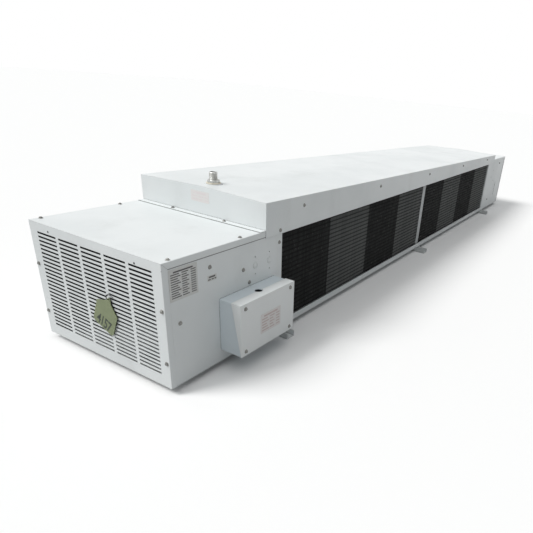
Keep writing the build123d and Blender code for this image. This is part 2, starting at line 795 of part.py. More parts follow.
def junction_box():
    """An open-fronted box on the side panel, with inward lips for its cover."""
    middle_x = (box_near_x + box_far_x) / 2
    middle_z = (box_low_z + box_high_z) / 2
    with BuildPart() as box:
        with BuildSketch(Plane.XZ.offset(panel_y)):
            with Locations((middle_x, middle_z)):
                Rectangle(box_length, box_height)
        extrude(amount=box_depth)
        fillet(edges().filter_by(Axis.Y), bend_radius)
        with BuildSketch(Plane.XZ.offset(panel_y + box_sheet)):
            with Locations((middle_x, middle_z)):
                Rectangle(box_length - 2 * box_sheet, box_height - 2 * box_sheet)
        extrude(amount=box_depth - 2 * box_sheet, mode=Mode.SUBTRACT)
        with BuildSketch(Plane.XZ.offset(panel_y + box_depth - box_sheet)):
            with Locations((middle_x, middle_z)):
                Rectangle(
                    box_length - 2 * (box_sheet + box_cover_lip),
                    box_height - 2 * (box_sheet + box_cover_lip),
                )
        extrude(amount=box_sheet, mode=Mode.SUBTRACT)
        with BuildSketch(Plane.XY.offset(box_high_z - box_sheet)):
            with Locations((box_near_x + conduit_setback, -panel_y - conduit_outset)):
                Circle(conduit_diameter / 2)
        extrude(amount=box_sheet, mode=Mode.SUBTRACT)
    finish("junction_box", box.part)

    wrap = seam + sheet
    with BuildPart() as cover:
        with BuildSketch(Plane.XZ.offset(-box_front_y)):
            with Locations((middle_x, middle_z + wrap / 2)):
                Rectangle(box_length + 2 * wrap, box_height + wrap)
        extrude(amount=sheet)
        # a return laps the top of the box, and one that tapers away laps each end
        with BuildSketch(Plane.YZ.offset(box_near_x - wrap)):
            with BuildLine():
                Polyline(
                    (box_front_y, box_low_z),
                    (box_front_y, box_high_z + wrap),
                    (box_front_y + cover_return, box_high_z + wrap),
                    close=True,
                )
            make_face()
        extrude(amount=box_length + 2 * wrap)
        with BuildSketch(Plane.XZ.offset(-box_front_y - cover_return)):
            with Locations((middle_x, middle_z + seam / 2)):
                Rectangle(box_length + 2 * seam, box_height + seam)
        extrude(amount=cover_return, mode=Mode.SUBTRACT)
        with BuildSketch(Plane.XY.offset(box_high_z)):
            with Locations((box_near_x + conduit_setback, -panel_y - conduit_outset)):
                Circle(conduit_diameter / 2 + conduit_notch)
        extrude(amount=wrap, mode=Mode.SUBTRACT)
    finish("junction_box_cover", cover.part)

    with BuildPart() as block:
        with BuildSketch(Plane.XZ.offset(panel_y + box_sheet)):
            with Locations((middle_x, middle_z)):
                Rectangle(terminal_length, terminal_height)
        extrude(amount=terminal_depth)
        pole = terminal_length / terminal_poles
        with BuildSketch(Plane.XZ.offset(panel_y + box_sheet + terminal_depth)):
            with Locations((middle_x, middle_z)):
                with GridLocations(pole, 0, terminal_poles, 1):
                    Rectangle(pole - terminal_slot, terminal_height)
        extrude(amount=-terminal_depth / 2, mode=Mode.SUBTRACT)
    finish("terminal_block", block.part)


# ---------------------------------------------------------------- hang tag
tie_z = base_z + slot_base + (tag_row + 0.5) * slot_pitch
tag_pivot = (near_x - tie_outset, -tag_offset, tie_z - tie_radius)


def hang_tag():
    """An ear-tag shaped plate hanging from a wire loop round one bar of the louvres."""
    with BuildPart() as tie:
        with BuildSketch(Plane.XZ.offset(tag_offset - tie_wire / 2)):
            with Locations((near_x - tie_outset, tie_z)):
                RegularPolygon(tie_radius + tie_wire / 2, 8, major_radius=False, rotation=22.5)
                RegularPolygon(
                    tie_radius - tie_wire / 2, 8, major_radius=False, rotation=22.5, mode=Mode.SUBTRACT
                )
        extrude(amount=tie_wire)
    finish("tag_tie", tie.part)

    hole_drop = tag_hole_diameter / 2 - tie_wire * 2**0.5 / 2 - tie_clearance
    hole_z = tag_pivot[2] - hole_drop
    shoulder_z = hole_z + tag_crown - tag_neck_length
    foot_z = hole_z + tag_crown - tag_length
    with BuildPart() as tag:
        with BuildSketch(Plane.YZ.offset(near_x - tie_outset - tag_thickness / 2)):
            with BuildLine():
                y = -tag_offset
                neck = tag_neck_width / 2
                half = tag_width / 2
                ThreePointArc((y - neck / 2, hole_z), (y, hole_z + tag_crown), (y + neck / 2, hole_z))
                Line((y + neck / 2, hole_z), (y + neck, shoulder_z + neck))
                Line((y + neck, shoulder_z + neck), (y + half, shoulder_z - neck))
                Line((y + half, shoulder_z - neck), (y + half, foot_z))
                Line((y + half, foot_z), (y - half, foot_z))
                Line((y - half, foot_z), (y - half, shoulder_z - neck))
                Line((y - half, shoulder_z - neck), (y - neck, shoulder_z + neck))
                Line((y - neck, shoulder_z + neck), (y - neck / 2, hole_z))
            make_face()
            with Locations((-tag_offset, hole_z)):
                Circle(tag_hole_diameter / 2, mode=Mode.SUBTRACT)
        extrude(amount=tag_thickness)
        low_corners = edges().filter_by(Axis.X).group_by(Axis.Z)[0]
        fillet(low_corners, tag_neck_width / 2)
    swung = tag.part.rotate(Axis(tag_pivot, (1, 0, 0)), tag_swing)
    finish("hang_tag", swung)


# ---------------------------------------------------------------- screws
def hex_heads(name, places):
    """Hexagonal heads, each seated on its panel: places are (plane, points)."""
    with BuildPart() as heads:
        for plane, points in places:
            with BuildSketch(plane):
                with Locations(*points):
                    RegularPolygon(screw_flats / 2, 6, major_radius=False)
            extrude(amount=screw_head)
    finish(name, heads.part)


def screws():
    near_side = Plane.XZ.offset(panel_y)
    apron_side = Plane.XZ.offset(pan_side_y)
    box_side = Plane.XZ.offset(-box_front_y + sheet)
    near_roof = Plane.XY.offset(top_z)
    end_face = Plane.YZ.offset(near_x)
    outward = Plane(origin=end_face.origin, x_dir=(0, -1, 0), z_dir=(-1, 0, 0))
    screw_y = side_y - screw_edge
    end_heights = (base_z + end_screw_low, base_z + end_screw_high)
    hex_heads("end_cover_screws", [
        (outward, [(side * screw_y, z) for side in (-1, 1) for z in end_heights]),
    ])
    hex_heads("cabinet_screws", [
        (near_side, [(-coil_end - back, base_z + up) for back, up in near_side_screws]),
        (near_side, [(-coil_end - back, top_z - down) for back, down in near_upper_screws]),
        (near_side, [(coil_end + far_side_screw[0], base_z + far_side_screw[1])]),
        (near_side, [(coil_end + far_upper_screw[0], top_z - far_upper_screw[1])]),
        (near_roof, [(near_x + along, side * screw_y) for along in near_roof_screws for side in (-1, 1)]),
    ])
    pan_run = pan_far_x - pan_near_x
    drop_change = pan_screw_drop_near - pan_screw_drop_far
    sides = []
    for share in pan_screw_shares:
        x = pan_near_x + pan_run * share
        sides.append((x, pan_roof(x, 1.0) - pan_screw_drop_near + drop_change * share))
    pan_end_x = pan_near_x - pan_end_flange / 2
    hex_heads("pan_screws", [
        (apron_side, sides),
        (Plane.XY.offset(top_z + pan_sheet), [(pan_end_x, side * pan_end_screw_half) for side in (-1, 1)]),
    ])
    across = (box_near_x + box_screw_inset, box_far_x - box_screw_inset)
    heights = (box_low_z + box_screw_rise, box_high_z - box_screw_rise)
    hex_heads("junction_box_screws", [(box_side, [(x, z) for x in across for z in heights])])


# ---------------------------------------------------------------- build
end_cover("end_cover_near", near_x, 1, True)
end_cover("end_cover_far", far_x, -1, False)
top_cover("top_cover_near", near_x, 1, pan_near_x)
top_cover("top_cover_far", far_x, -1, pan_far_x - return_flange)
side_panel("side_panel_near", near_x, True, near_panel_openings())
side_panel("rear_panel_near", near_x, False)
side_panel("side_panel_far", far_x, True, far_panel_openings())
side_panel("rear_panel_far", far_x, False)
ceiling_panel()
fan_panel()
for number, centre_x in enumerate(fan_centres(), start=1):
    fan_guard(f"fan_guard_{number}", centre_x)
    fan_blade(f"fan_blade_{number}", centre_x)
    fan_motor(f"fan_motor_{number}", centre_x)
    motor_bracket(f"motor_bracket_{number}", centre_x)
for number in range(1, fan_count):
    fan_baffle(f"fan_baffle_{number}", (fan_centres()[number - 1] + fan_centres()[number]) / 2)
fin_block("coil_fins_near", -1)
fin_block("coil_fins_far", 1)
coil_plate_end("coil_plate_near", -1)
coil_plate_end("coil_plate_far", 1)
coil_plate_centre()
hairpins()
header("liquid_header", 0, -1)
header("suction_header", 1, 1)
drain_fitting(*drain_pan())
hanger_rail("hanger_rail_near", -coil_end - rail_outset)
hanger_rail("hanger_rail_middle", 0)
hanger_rail("hanger_rail_far", coil_end + rail_outset)
junction_box()
hang_tag()
screws()
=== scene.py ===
"""Dresses the walk-in unit cooler: finishes, fins, tubes, fans, guards, screws, labels, tag and stage."""
import json
from math import cos, pi, radians, sin, sqrt, tau

import bmesh
import bpy
from bpy.props import FloatProperty, FloatVectorProperty, IntProperty, PointerProperty, StringProperty
from mathutils import Euler, Matrix, Vector


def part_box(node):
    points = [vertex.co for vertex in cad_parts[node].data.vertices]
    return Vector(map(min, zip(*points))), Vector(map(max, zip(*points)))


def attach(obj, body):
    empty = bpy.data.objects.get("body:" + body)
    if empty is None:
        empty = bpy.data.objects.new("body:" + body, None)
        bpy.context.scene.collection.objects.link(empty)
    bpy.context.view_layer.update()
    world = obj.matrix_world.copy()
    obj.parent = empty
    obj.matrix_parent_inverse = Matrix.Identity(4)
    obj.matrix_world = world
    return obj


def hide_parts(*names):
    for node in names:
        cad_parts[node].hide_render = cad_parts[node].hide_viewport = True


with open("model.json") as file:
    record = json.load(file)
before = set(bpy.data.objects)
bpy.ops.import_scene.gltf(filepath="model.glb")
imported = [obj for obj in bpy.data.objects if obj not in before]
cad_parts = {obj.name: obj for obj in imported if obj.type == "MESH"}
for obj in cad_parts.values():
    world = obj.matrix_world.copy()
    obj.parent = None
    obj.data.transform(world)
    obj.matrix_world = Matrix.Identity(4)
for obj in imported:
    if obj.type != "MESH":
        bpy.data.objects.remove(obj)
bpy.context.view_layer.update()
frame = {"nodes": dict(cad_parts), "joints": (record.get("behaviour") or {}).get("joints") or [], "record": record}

bl_info = {
    "name": "Walk-in unit cooler",
    "version": (1, 0, 0),
    "blender": (4, 5, 0),
    "location": "3D View > Sidebar > Cooler",
    "description": "Finishes and fine parts for a ceiling-hung unit cooler",
    "category": "Object",
}

CABINET = "cabinet"
FANS = range(1, 5)
RIGHT = Vector((1, 0, 0))
END = Vector((-1, 0, 0))
REAR = Vector((0, 1, 0))
FRONT = Vector((0, -1, 0))
UP = Vector((0, 0, 1))


# ------------------------------------------------------------------ settings
def length(name, default, description):
    return FloatProperty(name=name, default=default, description=description, unit="LENGTH", precision=5)


def angle(name, degrees, description):
    return FloatProperty(name=name, default=radians(degrees), description=description, subtype="ANGLE")


def amount(name, default, description):
    return FloatProperty(name=name, default=default, description=description)


def vector(name, default, description, subtype="XYZ"):
    return FloatVectorProperty(name=name, default=default, description=description, subtype=subtype)


def tint(name, default, description):
    return FloatVectorProperty(
        name=name, default=default, description=description, subtype="COLOR", size=3, min=0, max=1
    )


class CoolerFinishes(bpy.types.PropertyGroup):
    paint: tint("Paint", (0.80, 0.83, 0.835), "Clean powder coat on the cabinet")
    paint_shade: tint("Paint, dull", (0.70, 0.735, 0.74), "Powder coat where it has dulled")
    box_paint: tint("Box paint", (0.70, 0.77, 0.81), "Greyer coat on the body of the junction box")
    cover_paint: tint("Cover paint", (0.86, 0.885, 0.885), "Fresh coat on the junction box cover")
    # Painted shade: the joint colour darkens joints and corners by occlusion, and lies in lines of the width below
    # along the pan's flange and the cover's folds.
    painted_joint_shade: tint("Grime", (0.045, 0.05, 0.05), "Dirt that fills the joints between sheets")
    shade_line_width: length("Joint line", 0.0026, "Width of the dirt that lies along the joints")
    # Painted shade: near black inside the end compartments, where light through the louvres hardly reaches.
    painted_interior_shade: tint("Primer", (0.030, 0.032, 0.032), "Dark primer inside the louvred compartment")
    dust: tint("Dust", (0.42, 0.42, 0.39), "Dust that lies along edges and in corners")
    galvanised: tint("Galvanised", (0.32, 0.335, 0.34), "Zinc coated plate")
    zinc: tint("Zinc plate", (0.13, 0.13, 0.125), "Screws and the locknut")
    drain_zinc: tint("Drain zinc", (0.40, 0.41, 0.40), "Galvanised drain nipple and its locknut")
    copper: tint("Copper", (0.46, 0.20, 0.11), "Tubes, bends and headers")
    # The two fin colours are one coating: the lighter is painted light, the darker painted shade.
    fin_shaded: tint("Fins, dark", (0.052, 0.054, 0.054), "Coated fins in the darker lengths of the coil")
    fin_lit: tint("Fins, light", (0.24, 0.25, 0.25), "Coated fins in the lighter lengths of the coil")
    aluminium: tint("Aluminium", (0.62, 0.63, 0.64), "Pressed fan blades")
    black_enamel: tint("Black enamel", (0.018, 0.018, 0.019), "Fan guards and motor shells")
    gasket: tint("Gasket", (0.74, 0.69, 0.57), "Fibre washer below the locknut")
    tag: tint("Tag", (0.150, 0.185, 0.082), "Moulded tag")
    tag_ink: tint("Tag ink", (0.012, 0.020, 0.012), "Digits on the tag")
    label: tint("Label", (0.66, 0.67, 0.66), "Blank foil labels")
    label_ink: tint("Label ink", (0.035, 0.035, 0.035), "Header band and ruled rows of the data plate")
    label_faded: tint("Faded label", (0.76, 0.74, 0.73), "Blank labels that have faded")
    ink_faded: tint("Faded ink", (0.58, 0.48, 0.47), "Ruled rows of the faded labels")


class CoolerCoil(bpy.types.PropertyGroup):
    fin_pitch: length("Fin pitch", 0.00635, "Spacing of the fins along the coil")
    fin_thickness: length("Fin thickness", 0.00028, "Thickness of a fin with its coating")
    ripple: length("Ripple", 0.0012, "Depth of the ripple pressed into each fin")
    tube_pitch: length("Tube pitch", 0.03175, "Spacing of the tube rows")
    tube_pitch_deep: length("Tube pitch, deep", 0.0381, "Spacing of the two tube layers")
    tube_radius: length("Tube radius", 0.0062, "Outside radius of the tubes")
    # The darker and lighter stretches are painted shade and painted light on the fins.
    band: length("Band", 0.3048, "Length of the darker and lighter stretches")
    header_radius: length("Header radius", 0.01745, "Outside radius of the two headers")
    header_offset: length("Header offset", 0.030, "Distance from the end of the fins to the headers")
    outlet_radius: length("Outlet radius", 0.0101, "Outside radius of the pipe that leaves a header")


class CoolerFans(bpy.types.PropertyGroup):
    guard_rings: IntProperty(name="Guard rings", default=12, min=3, description="Concentric wires in a guard")
    guard_wire: length("Guard wire", 0.0013, "Radius of the ring wires")
    guard_bar: length("Guard bar", 0.0016, "Radius of the radial wires")
    blade_root: length("Blade root", 0.052, "Width of a blade at the hub")
    blade_tip: length("Blade tip", 0.118, "Width of a blade at its tip")
    blade_pitch: angle("Pitch", 26, "Blade angle")
    blade_camber: amount("Camber", 0.07, "Rise of a blade over its width")
    blade_sheet: length("Blade sheet", 0.0016, "Thickness of a blade")
    motor_ribs: IntProperty(name="Motor ribs", default=7, min=2, description="Ribs round the motor's shell")


class CoolerDetails(bpy.types.PropertyGroup):
    washer_radius: length("Screw washer", 0.0063, "Radius of the flange below a screw head")
    thread_pitch: length("Thread pitch", 0.0018, "Pitch of the drain nipple's thread")
    tag_number: StringProperty(name="Tag number", default="4157", description="Plain digits on the tag")
    digit_height: length("Digit height", 0.048, "Height setting of the tag's digits")
    label_sheet: length("Label sheet", 0.0004, "Thickness of a label")
    knockout_radius: length("Knockout radius", 0.0111, "Radius of the knockout discs")
    pan_flange: length("Pan flange", 0.023, "Flange of the drain pan over the near compartment")
    rivet_radius: length("Rivet", 0.0030, "Radius of the two rivets above the louvres")
    tag_lean: angle("Tag lean", 24, "How far the tag leans as it hangs")
    digit_drop: length("Digit drop", 0.089, "How far below the hinge the tag's digits stand")
    tie_wire: length("Tie wire", 0.0009, "Radius of the wire that holds the tag")


class CoolerStage(bpy.types.PropertyGroup):
    camera_place: vector("Camera", (-2.4231, -1.1615, 0.7964), "Camera position")
    camera_turn: vector("Camera turn", (1.1167, -0.0840, -1.0484), "Camera rotation", "EULER")
    camera_lens: amount("Lens", 32.626, "Focal length in millimetres")
    camera_shift: FloatVectorProperty(
        name="Shift", default=(-0.15623, 0.09698), size=2, description="Lens shift across and up"
    )
    floor_size: length("Floor", 60.0, "Side of the floor")
    sky: amount("Fill", 0.28, "Strength of the even light from all round")
    sun: amount("Key", 2.1, "Strength of the soft key light")
    sun_from: vector("Key from", (-0.50, 0.42, 0.77), "Where the key light stands", "DIRECTION")
    sun_spread: angle("Key spread", 24, "Softness of the key light")
    top: amount("Overhead", 0.7, "Strength of the wide light overhead")
    top_from: vector("Overhead from", (-0.15, -0.10, 1.0), "Where the wide light stands", "DIRECTION")
    top_spread: angle("Overhead spread", 60, "Softness of the wide light")


# ------------------------------------------------------------------ shading
class Value:
    """A number, colour or vector that varies over a surface; arithmetic on it adds nodes."""

    def __init__(self, shading, socket):
        self.shading = shading
        self.socket = socket

    def __add__(self, other):
        return self.shading.math("ADD", self, other)

    def __sub__(self, other):
        return self.shading.math("SUBTRACT", self, other)

    def __rsub__(self, other):
        return self.shading.math("SUBTRACT", other, self)

    def __mul__(self, other):
        return self.shading.math("MULTIPLY", self, other)

    def __truediv__(self, other):
        return self.shading.math("DIVIDE", self, other)

    __radd__ = __add__
    __rmul__ = __mul__


class Shading:
    """The node tree of one finish."""

    def __init__(self, tree):
        self.tree = tree
        tree.nodes.clear()

    def node(self, kind, settings=None, sockets=None, output=0):
        """Add a node: its settings first, then the values or links of its sockets."""
        made = self.tree.nodes.new(kind)
        for name, value in (settings or {}).items():
            setattr(made, name, value)
        for name, value in (sockets or {}).items():
            if isinstance(value, Value):
                self.tree.links.new(value.socket, made.inputs[name])
            else:
                made.inputs[name].default_value = value
        return Value(self, made.outputs[output])

    def math(self, operation, *terms):
        return self.node("ShaderNodeMath", {"operation": operation}, dict(enumerate(terms)))

    def place(self):
        """The point on the piece, in the frame at rest."""
        return self.node("ShaderNodeTexCoord", output="Object")

    def along(self, axis):
        return self.node("ShaderNodeSeparateXYZ", sockets={0: self.place()}, output=axis)

    def noise(self, scale, detail=3.0, roughness=0.5, stretch=(1, 1, 1)):
        spot = self.node("ShaderNodeMapping", sockets={"Vector": self.place(), "Scale": stretch})
        sockets = {"Vector": spot, "Scale": scale, "Detail": detail, "Roughness": roughness}
        return self.node("ShaderNodeTexNoise", sockets=sockets, output="Fac")

    def step(self, value, low, high):
        """0 below low, 1 above high, and smooth between."""
        settings = {"interpolation_type": "SMOOTHSTEP"}
        return self.node("ShaderNodeMapRange", settings, {"Value": value, "From Min": low, "From Max": high})

    def mix(self, base, top, mask):
        sockets = {0: mask}
        for place, colour in ((6, base), (7, top)):
            sockets[place] = colour if isinstance(colour, Value) else (*colour, 1)
        return self.node("ShaderNodeMix", {"data_type": "RGBA"}, sockets, output=2)

    def layers(self, base, *coats):
        """A base colour under coats of (colour, mask)."""
        for colour, mask in coats:
            base = self.mix(base, colour, mask)
        return base

    def rounded(self, radius):
        """The normal with its edges rounded off."""
        return self.node("ShaderNodeBevel", {"samples": 4}, {"Radius": radius})

    def edges(self, radius):
        """1 along sharp edges and in corners, 0 on the flat."""
        pair = {0: self.rounded(radius), 1: self.node("ShaderNodeNewGeometry", output="Normal")}
        alike = self.node("ShaderNodeVectorMath", {"operation": "DOT_PRODUCT"}, pair, output="Value")
        return self.step(1 - alike, 0.02, 0.2)

    def joints(self, reach):
        """1 in the bottom of joints and corners, where ambient occlusion finds shade; 0 in the open."""
        open_share = self.node("ShaderNodeAmbientOcclusion", {"samples": 6}, {"Distance": reach}, output="AO")
        return self.step(1 - open_share, 0.34, 0.66)

    def inside(self, low, high, reach):
        """1 between two corners of a box, 0 outside it."""
        mask = 1.0
        for axis, name in enumerate("XYZ"):
            place = self.along(name)
            mask = mask * self.step(place, low[axis] - reach, low[axis])
            mask = mask * self.step(place, high[axis] + reach, high[axis])
        return mask

    def relief(self, height, depth, edge_radius=0.0):
        sockets = {"Height": height, "Distance": depth, "Strength": 1.0}
        if edge_radius:
            sockets["Normal"] = self.rounded(edge_radius)
        return self.node("ShaderNodeBump", sockets=sockets)

    def surface(self, **sockets):
        """A Principled surface; sockets are named with _ for a space."""
        sockets = {name.replace("_", " "): value for name, value in sockets.items()}
        self.finish("ShaderNodeOutputMaterial", self.node("ShaderNodeBsdfPrincipled", sockets=sockets))

    def finish(self, kind, shader):
        self.tree.links.new(shader.socket, self.tree.nodes.new(kind).inputs["Surface"])


def new_finish(name):
    """An empty material and the shading to fill it with."""
    material = bpy.data.materials.new(name)
    material.use_nodes = True
    return material, Shading(material.node_tree)


def painted_shade_lines(width):
    """Where painted shade lies along the pan's flange and below the returns of the near top cover, as the shadow
    of the gap and of the fold.
    """
    cover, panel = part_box("top_cover_near"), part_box("side_panel_near")
    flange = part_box("drain_pan")[0].x
    top, edge = cover[1].z, cover[0].z
    fold, above, face = 0.002, 0.0004, 0.0003
    yield (flange - width, cover[0].y + fold, top - above), (flange, cover[1].y - fold, top + above)
    yield (cover[0].x, panel[0].y - face, edge - width), (cover[1].x, panel[0].y + face, edge)


def painted_shade_compartments():
    """The space inside each end of the cabinet, painted near black as shade."""
    near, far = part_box("end_cover_near"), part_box("end_cover_far")
    end_skin, side_skin, low_skin, high_skin = 0.0005, 0.0023, 0.0011, 0.0013
    side, low, high = near[0].y + side_skin, near[0].z + low_skin, near[1].z - high_skin
    yield (near[0].x + end_skin, side, low), (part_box("coil_plate_near")[0].x, -side, high)
    yield (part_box("coil_plate_far")[1].x, side, low), (far[1].x - end_skin, -side, high)


def paint(s, colours, clean, dull, wear, waviness):
    """Powder coat with a fine orange peel, soft smudges and specks, and painted shade in its joints, along its
    flange and folds and inside the end compartments.
    """
    patches = s.step(s.noise(2.2, 4, 0.55), 0.38, 0.68)
    smears = s.step(s.noise(7, 5, 0.6, (1, 1, 0.35)), 0.52, 0.78) * s.noise(60, 3)
    specks = s.step(s.noise(230, 2, 0.7), 0.70, 0.78)
    corners = s.edges(0.003) * s.step(s.noise(28, 4, 0.65), 0.35, 0.7)
    scuffs = s.step(s.noise(14, 6, 0.7, (0.25, 1, 3)), 0.66, 0.72)
    colour = s.layers(
        clean, (dull, patches * 0.55), (colours.dust, smears * (0.20 * wear)),
        (colours.dust, specks * (0.30 * wear)), (colours.dust, corners * (0.30 * wear)),
        # Painted shade: occlusion darkens joints and corners.
        ((0.9, 0.91, 0.9), scuffs * 0.12), (colours.painted_joint_shade, s.joints(0.007) * 0.85),
        # Painted shade inside the end compartments.
        *((colours.painted_interior_shade, s.inside(*box, 0.0003)) for box in painted_shade_compartments()),
        # Painted shade: dark lines along the pan's flange and below the cover's folds.
        *((colours.painted_joint_shade, s.inside(*box, 0.0004) * 0.8) for box in painted_shade_lines(colours.shade_line_width)),
    )
    roughness = 0.36 + patches * 0.10 + smears * 0.2 + s.noise(90, 2) * 0.06
    height = s.noise(520, 2, 0.5) * 0.06 + s.noise(3.1, 1, 0.4) * (2.2 * waviness)
    s.surface(
        Base_Color=colour, Roughness=roughness, Normal=s.relief(height, 0.001, 0.0012),
        Specular_IOR_Level=0.45, Coat_Weight=patches * 0.06, Coat_Roughness=0.2,
    )


def galvanised(s, colours):
    """Zinc coating with its spangle, dulled in patches."""
    cells = {"Vector": s.place(), "Scale": 95.0, "Randomness": 1.0}
    spangle = s.node("ShaderNodeTexVoronoi", {"feature": "F1"}, cells, output="Color")
    facet = s.node("ShaderNodeSeparateColor", sockets={0: spangle}, output=0)
    dulled = s.step(s.noise(11, 4, 0.6), 0.4, 0.7)
    white_rust = s.step(s.noise(38, 5, 0.7), 0.62, 0.74)
    colour = s.layers(
        colours.galvanised, ((0.42, 0.44, 0.45), facet * 0.55), ((0.24, 0.25, 0.25), dulled * 0.4),
        ((0.58, 0.59, 0.57), white_rust * 0.3),
    )
    height = facet * 0.03 + s.noise(300, 3) * 0.03
    s.surface(
        Base_Color=colour, Roughness=0.46 + facet * 0.12 + dulled * 0.16, Metallic=0.5 - white_rust * 0.3,
        Normal=s.relief(height, 0.001, 0.0008),
    )


def plated(s, base, bright, roughness, stain, scale):
    """Bare or plated metal with fine drawing marks and stain in patches."""
    drawn = s.noise(scale, 4, 0.6, (0.2, 1, 1))
    stained = s.step(s.noise(40, 4, 0.65), 0.48, 0.72)
    colour = s.layers(base, (bright, drawn * 0.7), (stain, stained * 0.45), (bright, s.edges(0.0012) * 0.3))
    s.surface(
        Base_Color=colour, Roughness=roughness + drawn * 0.14 + stained * 0.15, Metallic=1.0 - stained * 0.25,
        Normal=s.relief(drawn * 0.06, 0.0006, 0.0004),
    )


def coated_fins(s, colours, coil):
    """Coated fins with stretches of painted light and painted shade by turns and painted shade lines along the
    ripples, dusty along the edges that meet the air.
    """
    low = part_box("coil_fins_near")[0]
    run = (s.along("X") - low.x) / (2 * coil.band)
    # lighter: 1 in the stretches of painted light, 0 in those of painted shade.
    lighter = s.step(s.math("FRACT", run), 0.497, 0.503)
    faced = s.step(s.along("Y"), low.y + 0.004, low.y)
    # rows: dark lines at half the tube pitch, painted shade where each fin's ripple leans away from the light.
    rows = s.math("SINE", (s.along("Z") - low.z) * (tau / (coil.tube_pitch / 2)))
    lint = s.step(s.noise(85, 5, 0.7, (1, 1, 0.4)), 0.46, 0.72)
    fin_by_fin = s.step(s.noise(160, 0, 0.0, (1, 0.01, 0.01)), 0.35, 0.65)
    flecks = s.step(s.noise(210, 2, 0.6, (1, 1, 0.3)), 0.60, 0.70)
    colour = s.layers(
        colours.fin_shaded, (colours.fin_lit, lighter), ((0.40, 0.41, 0.40), fin_by_fin * lighter * 0.35),
        ((0.10, 0.105, 0.105), fin_by_fin * (1 - lighter) * 0.45),
        ((0.34, 0.34, 0.32), lint * faced * (0.16 + lighter * 0.35)),
        # The last coat is the painted shade of the ripples.
        ((0.40, 0.40, 0.38), flecks * faced * 0.5), ((0.012, 0.012, 0.012), s.step(rows, 0.1, 0.8) * 0.7),
    )
    s.surface(
        Base_Color=colour, Roughness=0.42 + lint * 0.3, Normal=s.relief(s.noise(400, 2) * 0.1, 0.0004),
        Specular_IOR_Level=0.4,
    )


def enamel(s, base, gloss):
    """Dipped enamel over wire or castings, with dust on what faces up."""
    normal = s.node("ShaderNodeNewGeometry", output="Normal")
    upward = s.node("ShaderNodeSeparateXYZ", sockets={0: normal}, output="Z")
    dusty = s.step(upward, 0.2, 1.0) * s.step(s.noise(55, 4, 0.6), 0.35, 0.7)
    worn = s.edges(0.0012) * s.step(s.noise(70, 4, 0.6), 0.5, 0.65)
    s.surface(
        Base_Color=s.layers(base, ((0.16, 0.155, 0.14), dusty * 0.45), ((0.10, 0.10, 0.10), worn * 0.6)),
        Roughness=gloss + dusty * 0.4 + s.noise(200, 2) * 0.08,
        Normal=s.relief(s.noise(420, 2) * 0.12, 0.0004, 0.0006),
        Coat_Weight=0.25 - dusty * 0.25, Coat_Roughness=0.15,
    )


def moulded(s, base, pale, roughness=0.55, grain=350.0):
    """Moulded rubber or plastic with a fine grain, paler where it is rubbed."""
    mottled = s.noise(45, 4, 0.6)
    rubbed = s.edges(0.0015) * s.step(s.noise(90, 4), 0.3, 0.6)
    s.surface(
        Base_Color=s.layers(base, (pale, mottled * 0.35), (pale, rubbed * 0.6)),
        Roughness=roughness + mottled * 0.12,
        Normal=s.relief(s.noise(grain, 3, 0.6) * 0.12 + mottled * 0.2, 0.0005, 0.0005),
    )


def printed(s, base, faded, gloss=0.38):
    """A printed foil or ink that has faded unevenly."""
    fade = s.step(s.noise(60, 5, 0.65), 0.4, 0.7)
    creases = s.step(s.noise(25, 5, 0.7, (1, 1, 4)), 0.60, 0.66)
    s.surface(
        Base_Color=s.layers(base, (faded, fade * 0.5), (faded, creases * 0.3)), Roughness=gloss + fade * 0.2,
        Normal=s.relief(s.noise(120, 3) * 0.1, 0.0005), Specular_IOR_Level=0.5,
    )


made_finishes = {}


def finish(slot):
    """The finish of one of the record's slots, or of a scene-only one, made when first asked for."""
    if slot not in made_finishes:
        made_finishes[slot] = make_finish(slot, bpy.context.scene)
    return made_finishes[slot]


